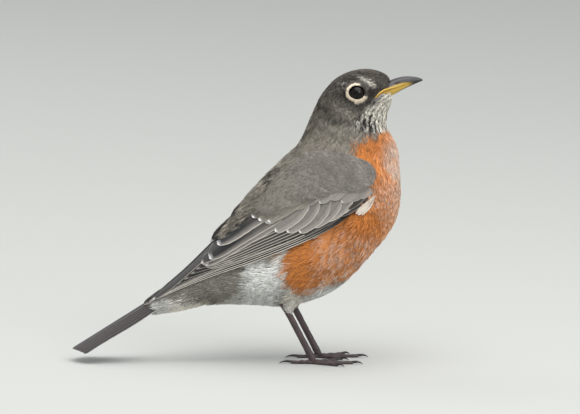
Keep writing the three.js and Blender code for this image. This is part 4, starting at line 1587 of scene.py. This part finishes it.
class ROBIN_OT_bill(RobinOperator, bpy.types.Operator):
    """Both halves of the closed bill"""

    bl_idname = "robin.bill"
    bl_label = "Bill"

    def execute(self, context):
        colour = palette(context)
        for half, column, node, slot in (
            ("upper", 1, "bill_upper", "horn_dark"),
            ("lower", 3, "bill_lower", "horn_yellow"),
        ):
            points, faces = self.mandible(half == "upper", column)
            tint = self.horn_colour(half == "upper", column, points, colour)
            piece = make_piece(f"{half}_mandible", points, faces, "horn", tint)
            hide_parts(node)
        self.gape(colour)
        return {"FINISHED"}

    def mandible(self, upper, column):
        """Half rings from the seam to the culmen or the lower edge, y = half width cos(angle) and the rise
        sin(angle) to a power just under 1, closed by a flat floor along the seam."""
        row = through(BILL, np.linspace(0, len(BILL) - 1, 70))
        angle = np.linspace(0, math.pi, 33)
        seam = row[:, 2] + (0.06 if upper else -0.06)
        height = row[:, column] - seam
        rise = np.sin(angle) ** (0.85 if upper else 0.9)
        y = np.cos(angle) * row[:, 4:5] * (1.0 if upper else 0.93)
        x = row[:, 0:1] + 0 * y
        z = seam[:, None] + height[:, None] * rise
        if upper:
            y = y * (1 - 0.16 * at_nostril(x, z, 1.5, 0.5))
        closing = np.linspace(1, -1, 9)[1:-1]
        floor = np.stack([x[:, :1] + 0 * closing, -closing * y[:, :1], seam[:, None] + 0 * closing], -1)
        points, faces = tube(np.concatenate([np.stack([x, y, z], -1), floor], axis=1))
        return points, turned_out(points, faces)

    def horn_colour(self, upper, column, points, colour):
        """Dark at the culmen and the tip, yellow by the seam: share runs from the seam to the rim."""
        x, z = points[:, 0], points[:, 2]
        dark, yellow = colour["bill"], colour["yellow"]
        seam = np.interp(x, BILL[:, 0], BILL[:, 2])
        rim = np.interp(x, BILL[:, 0], BILL[:, column])
        deep = np.where(np.abs(rim - seam) < 0.1, 0.1 if upper else -0.1, rim - seam)
        share = np.clip((z - seam) / deep, 0, 1)
        if not upper:
            tint = blend(yellow, dark, smooth(share + 0.05 * (x - 78), 0.75, 1.0))
            return blend(tint, dark * 0.5, smooth(x, 83, 87))
        towards_tip = 0.3 * smooth(x, 80, 87)
        tint = blend(yellow, dark, smooth(share, 0.22 - towards_tip, 0.5 - towards_tip))
        tint = blend(tint, dark * 0.5, smooth(x, 83, 88))
        # The nostril is painted near black: painted shade in its opening.
        tint = blend(tint, dark * 0.2, at_nostril(x, z, 1.1, 0.4))
        return blend(tint, yellow * 0.9, smooth(x, 72.5, 69))

    def gape(self, colour):
        """The fleshy lips of the mouth's corner: a flat tube along the face, creased where they meet."""
        x, h = GAPE.T
        station, angle = find_on_body(x, h)
        point = body_surface(0.2)(station, angle)
        on_bill = through(BILL, np.interp(x, BILL[:, 0], np.arange(len(BILL))))
        beside = np.stack([x, -on_bill[:, 4], true_height(h, -on_bill[:, 4])], -1)
        path = blend(point, beside, smooth(x, 70.5, 73.5))
        radii = [(0.2, 0.2), (0.5, 0.35), (0.7, 0.4), (0.7, 0.4), (0.25, 0.2)]

        def crease(s, a):
            """A narrow fold along the outer side."""
            return -0.3 * np.exp(-(((np.sin(a) + 1) / 0.12) ** 2))

        points, faces = limb(path, radii, 70, 20, crease)
        off = points[:, 2] - np.interp(points[:, 0], path[:, 0], path[:, 2])
        tint = blend(colour["yellow"] * (0.7, 0.55, 0.45), colour["yellow"], smooth(off, -0.3, 0.15))
        specks = smooth(ripple(points, 1.1, 21), 0.25, 0.5) * smooth(off, 0.2, -0.3)
        tint = blend(tint, colour["ink"], 0.75 * specks)
        for side, mirror in SIDES.items():
            lips = make_piece(f"mouth_corner_{side}", points, faces, "horn", tint, mirror=mirror)


class ROBIN_OT_eyes(RobinOperator, bpy.types.Operator):
    """Eyeballs with a dark brown iris, bare lids and the broken pale ring of feathers"""

    bl_idname = "robin.eyes"
    bl_label = "Eyes"

    def execute(self, context):
        colour = palette(context)
        # An eyeball with a low bulge in front, and on it a dark pupil, a brown iris and a darker rim.
        polar, around = round_grid(np.linspace(0.01, math.pi - 0.01, 64), 64)
        radius = EYE_RADIUS + 0.22 * np.exp(-((polar / 0.55) ** 2))
        way = np.stack([np.sin(polar) * np.cos(around), -np.cos(polar), np.sin(polar) * np.sin(around)], -1)
        points, faces = tube(way * radius[..., None] + EYE)
        faces = turned_out(points, faces)
        off = np.hypot(points[:, 0] - EYE[0], points[:, 2] - EYE[2])
        tint = blend(linear(6, 5, 5), linear(20, 12, 8), smooth(off, 2.2, 2.5))
        tint = blend(tint, linear(10, 7, 6), smooth(off, 3.0, 3.8))
        for side, mirror in SIDES.items():
            eye = make_piece(f"eyeball_{side}", points, faces, "eye", tint, mirror=mirror)
            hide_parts(f"eye_{side}")
        self.lids(colour)
        self.ring(colour)
        return {"FINISHED"}

    def lids(self, colour):
        """A rim round the opening, out from 0 to 1: it leaves the eyeball, bulges and sinks into the
        face. Beyond its first third the ball's height is kept."""
        out, around = round_grid(np.linspace(0, 1, 14), 72)
        rim_x = (EYE_OPENING[0] + 2.0 * out) * np.cos(around)
        rim_z = (EYE_OPENING[1] + 2.0 * out) * np.sin(around) * (1 + 0.06 * np.sin(around))
        rim_x, rim_z = rim_x + LID_MIDDLE[0] - EYE[0], rim_z + LID_MIDDLE[2] - EYE[2]
        ball = np.sqrt(np.clip(EYE_RADIUS**2 - rim_x**2 - rim_z**2, 0, None))
        ball = np.where(out < 0.3, ball, ball[4:5])
        bulge = 0.32 * np.sin(np.clip(out * 2.2, 0, 1) * math.pi)
        height = ball * (1 - out) + bulge + (2.9 - 1.2 * out) * out
        top = np.stack([EYE[0] + rim_x, EYE[1] - height, EYE[2] + rim_z], -1)
        under = top + np.array([0, 1.6, 0])
        rings = np.concatenate([top, under[::-1], top[:1]], axis=0)
        points = rings.reshape(-1, 3)
        faces = turned_out(points, as_triangles(grid_faces(len(rings), rings.shape[1], closed=True)))
        tint = np.tile(colour["ink"] * 1.1, (len(points), 1))
        for side, mirror in SIDES.items():
            lid = make_piece(f"eyelids_{side}", points, faces, "lid", tint, mirror=mirror)

    def ring(self, colour):
        """Tiny feathers that radiate from the lids, cream above behind and below, dark in front, and dark
        ones that cover the upper lid beyond them."""
        rng = np.random.default_rng(17)
        ring, brow = 420, 260
        turn = np.concatenate([rng.uniform(0, TAU, ring), np.radians(rng.uniform(10, 170, brow))])
        row = np.concatenate([rng.uniform(0.2, 0.9, ring), rng.uniform(0.9, 2.3, brow)])
        count = ring + brow

        def surface(out, around):
            """A cone round the eye: out is the distance beyond the opening, over which it falls from the lid
            to the face, and least where the cheek stands out below the eye."""
            x = (EYE_OPENING[0] + out) * np.cos(around)
            z = (EYE_OPENING[1] + out) * np.sin(around)
            fall = 0.5 + 0.45 * np.sin(around)
            return LID_MIDDLE + np.stack([x, -0.1 + fall * out, z], -1)

        pale = np.maximum(spot_arc(turn, 132, 72), spot_arc(turn, 262, 80)) * (row < 0.9)
        dark = colour["slate"] * np.where(row < 0.9, 0.5, 0.85)[:, None]
        ground = blend(dark, colour["cream"] * (1.02, 0.93, 0.82), pale)
        shape = {
            "length": rng.uniform(0.9, 1.3, count) * (1 + 1.1 * spot_arc(turn, 298, 45)), "width": 0.65,
            "root": 0.0, "tip": rng.uniform(0.15, 0.4, count) + 0.5 * spot_arc(turn, 270, 90),
            "turn": rng.normal(size=count) * 0.2, "round": 0.4, "fray": 0.1, "crown": 0.0, "curve": 1.0,
            "stray": 0.03, "thick": 1.6,
        }
        colours = feather_colours(ground, ground * 1.1, rng, dark_root=0.9, vary=0.1)
        points, faces, tint, bake = plumes(surface, row, turn, shape, colours, 3, 2, rng)
        made = points, turned_out(points, faces), tint, bake
        for side, mirror in SIDES.items():
            plume_piece(f"eye_ring_{side}", made, mirror)


def spot_arc(turn, middle, half):
    """1 within half degrees of the middle direction, fading over its last 15 degrees."""
    off = np.abs((np.degrees(turn) - middle + 180) % 360 - 180)
    return 1 - smooth(off, half - 15, half)


# ---- Legs ----


def limb(path, radii, rings, sides, relief=None):
    """A round limb along a path of points with radii (up, across): rings square to the path, with a
    relief (share along, angle) added to the radius. What would go below the floor is flattened."""
    s = np.linspace(0, 1, rings)
    at = s * (len(path) - 1)
    line, size = through(path, at), through(radii, at)
    ahead = unit(np.gradient(line, axis=0))
    across = unit(np.cross(ahead, (0, 0, 1)))
    up = np.cross(across, ahead)
    angle = np.linspace(0, TAU, sides + 1)[:-1]
    bulge = 1 + (relief(s[:, None], angle[None, :]) if relief else 0)
    points = (
        line[:, None]
        + up[:, None] * (size[:, :1] * np.cos(angle) * bulge)[..., None]
        + across[:, None] * (size[:, 1:] * np.sin(angle) * bulge)[..., None]
    )
    points[..., 2] = np.maximum(points[..., 2], 0.02)
    points, faces = tube(points)
    return points, turned_out(points, faces)


def scutes(count, strength=0.07):
    """Overlapping plates down the front and top: a saw profile along the limb, faded round to the back."""

    def relief(s, angle):
        saw = (s * count + 0.08 * np.cos(2 * angle)) % 1
        return strength * (saw - 0.5) * (0.35 + 0.65 * np.clip(np.cos(angle), 0, 1))

    return relief


class ROBIN_OT_legs(RobinOperator, bpy.types.Operator):
    """Scaled shanks and toes, one skin for each leg, and their claws"""

    bl_idname = "robin.legs"
    bl_label = "Legs"

    def execute(self, context):
        colour = palette(context)
        for side, mirror in SIDES.items():
            forward = STRIDE[side]
            toes = TOE_SHAPE.values()
            parts = [self.shank(forward), *(self.toe(forward, length, turn) for length, turn, _ in toes)]
            points, faces = joined(parts)
            shade = 1 + 0.25 * ripple(points, 6, 8)
            height = smooth(points[:, 2], 4, 24)
            tint = blend(colour["leg"] * 0.85, colour["leg"] * 1.05, height)
            tint = tint * np.clip(shade, 0.6, 1.4)[:, None]
            leg = make_piece(f"leg_skin_{side}", points, faces, "scales", tint, mirror=mirror)
            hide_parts(f"shank_{side}", *(f"toe_{side}_{toe}" for toe in TOES))
            points, faces = joined([self.claw(forward, *toe) for toe in toes])
            tint = np.tile(colour["claw"], (len(points), 1))
            horn = make_piece(f"claws_{side}", points, faces, "claw", tint, mirror=mirror)
            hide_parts(*(f"claw_{side}_{toe}" for toe in TOES))
        return {"FINISHED"}

    def shank(self, forward):
        """A scaled limb from the heel to the ankle, thicker at both joints."""
        shares = (-0.1, 0, 0.16, 0.5, 0.8, 0.95, 1.04)
        path = [
            (HEEL[0] + (ANKLE[0] - HEEL[0]) * s + forward, -LEG_APART, HEEL[1] + (ANKLE[1] - HEEL[1]) * s)
            for s in shares
        ]
        radii = [(1.7, 1.3), (2.15, 1.55), (1.75, 1.1), (1.65, 1.05), (1.7, 1.1), (1.85, 1.45), (1.5, 1.4)]
        return limb(path, radii, 260, 28, scutes(11, 0.09))

    def on_foot(self, forward, turn, distance, height):
        """A place at a distance from the ankle, in a toe's direction."""
        angle = math.radians(turn)
        x = forward + ANKLE[0] + distance * math.cos(angle)
        return (x, -LEG_APART + distance * math.sin(angle), height)

    def toe(self, forward, length, turn):
        """A scaled limb that tapers, with a swelling at the middle of each of its pads."""
        pads = 4 if length > 20 else 3
        shares = np.linspace(0, 1, 2 * pads + 1)
        radius = TOE_ROOT + (TOE_END - TOE_ROOT) * shares
        radius = radius * np.where(np.arange(len(shares)) % 2 == 1, 1.06, 0.9)
        path = [
            self.on_foot(forward, turn, 0.2 + s * (length - 0.2), SOLE * r) for s, r in zip(shares, radius)
        ]
        return limb(path, np.stack([radius, radius], -1), 150, 20, scutes(int(length / 1.1), 0.08))

    def claw(self, forward, length, turn, size):
        """A pointed hook that starts inside the toe's end and curves down to the ground."""
        reach = length + np.array([-0.5, 0.25, 0.5, 0.78, 1.0]) * size * 0.86
        height = (0.8, 1.25, 1.25, 0.85, 0.14)
        path = [self.on_foot(forward, turn, r, z) for r, z in zip(reach, height)]
        radius = np.array([0.78, 0.66, 0.52, 0.33, 0.08])
        return limb(path, np.stack([radius, 0.8 * radius], -1), 40, 16)


# ---- Stage ----

# In millimetres: what the picture spans at the bird, where the camera aims, and how far off it stands.
FRAME_WIDTH = 301.6
AIM = (22.3, 0.0, 80.9)
CAMERA_AWAY = 5000.0


class ROBIN_OT_stage(RobinOperator, bpy.types.Operator):
    """Camera, plain pale floor and soft light"""

    bl_idname = "robin.stage"
    bl_label = "Stage"

    def execute(self, context):
        scene = context.scene
        camera = bpy.data.cameras.new("camera")
        camera.sensor_width = 36
        camera.lens = camera.sensor_width * CAMERA_AWAY / FRAME_WIDTH
        camera.clip_start, camera.clip_end = 0.1, 50
        eye = bpy.data.objects.new("camera", camera)
        scene.collection.objects.link(eye)
        away = np.array([0, -math.cos(VIEW_TILT), math.sin(VIEW_TILT)]) * CAMERA_AWAY
        eye.location = (np.array(AIM) + away) * MM
        eye.rotation_euler = (math.pi / 2 - VIEW_TILT, 0, 0)
        scene.camera = eye
        self.floor(scene)
        for name, place, size, power in (
            ("sky_light", (0.15, -0.35, 1.5), 1.6, 27),
            ("side_light", (0.9, -1.3, 0.9), 0.9, 11),
            ("back_light", (-1.2, 1.2, 0.9), 1.2, 10),
        ):
            light = bpy.data.lights.new(name, "AREA")
            light.size, light.energy = size, power
            lamp = bpy.data.objects.new(name, light)
            lamp.location = place
            # Turned from straight down towards a point a little above the feet.
            x, y, z = np.array((0.02, 0, 0.08)) - place
            lamp.rotation_euler = (math.acos(-z / math.hypot(x, y, z)), 0, math.atan2(y, x) + 1.5 * math.pi)
            scene.collection.objects.link(lamp)
        world = bpy.data.worlds.new("studio")
        world.use_nodes = True
        world.node_tree.nodes["Background"].inputs["Color"].default_value = (0.95, 0.97, 1.0, 1)
        world.node_tree.nodes["Background"].inputs["Strength"].default_value = 0.68
        scene.world = world
        scene.view_settings.view_transform = "Standard"
        return {"FINISHED"}

    def floor(self, scene):
        """A disc far wider than the view, with a soft plain finish."""
        rings, around = round_grid(np.linspace(0.001, 3000, 8), 64)
        points = np.stack([rings * np.cos(around), rings * np.sin(around), 0 * rings], -1) * MM
        mesh = bpy.data.meshes.new("floor")
        mesh.from_pydata(points.reshape(-1, 3).tolist(), [], grid_faces(8, 64, closed=True).tolist())
        plain, shader = new_material("pale_floor", 0.8)
        shader.inputs["Base Color"].default_value = (*linear(178, 179, 174), 1)
        mesh.materials.append(plain)
        floor = bpy.data.objects.new("floor", mesh)
        scene.collection.objects.link(floor)


class ROBIN_PT_panel(bpy.types.Panel):
    """Lists the robin's settings and pieces"""

    bl_label = "American robin"
    bl_space_type = "VIEW_3D"
    bl_region_type = "UI"
    bl_category = "Robin"

    def draw(self, context):
        scene = context.scene
        for group, kind in ((scene.robin_sizes, RobinSizes), (scene.robin_colours, RobinColours)):
            for name in kind.__annotations__:
                self.layout.prop(group, name)
        for operator in PIECES:
            self.layout.operator(operator.bl_idname)


PIECES = (
    ROBIN_OT_skin,
    ROBIN_OT_breast,
    ROBIN_OT_back,
    ROBIN_OT_vent,
    ROBIN_OT_head,
    ROBIN_OT_thighs,
    ROBIN_OT_flight,
    ROBIN_OT_coverts,
    ROBIN_OT_shoulder,
    ROBIN_OT_tail,
    ROBIN_OT_bill,
    ROBIN_OT_eyes,
    ROBIN_OT_legs,
    ROBIN_OT_stage,
)
CLASSES = (RobinSizes, RobinColours, *PIECES, ROBIN_PT_panel)


def register():
    for cls in CLASSES:
        bpy.utils.register_class(cls)
    bpy.types.Scene.robin_sizes = PointerProperty(type=RobinSizes)
    bpy.types.Scene.robin_colours = PointerProperty(type=RobinColours)


def unregister():
    del bpy.types.Scene.robin_colours
    del bpy.types.Scene.robin_sizes
    for cls in reversed(CLASSES):
        bpy.utils.unregister_class(cls)


def main():
    register()
    for operator in PIECES:
        getattr(bpy.ops.robin, operator.bl_idname.split(".")[1])()


if __name__ == "__main__":
    main()
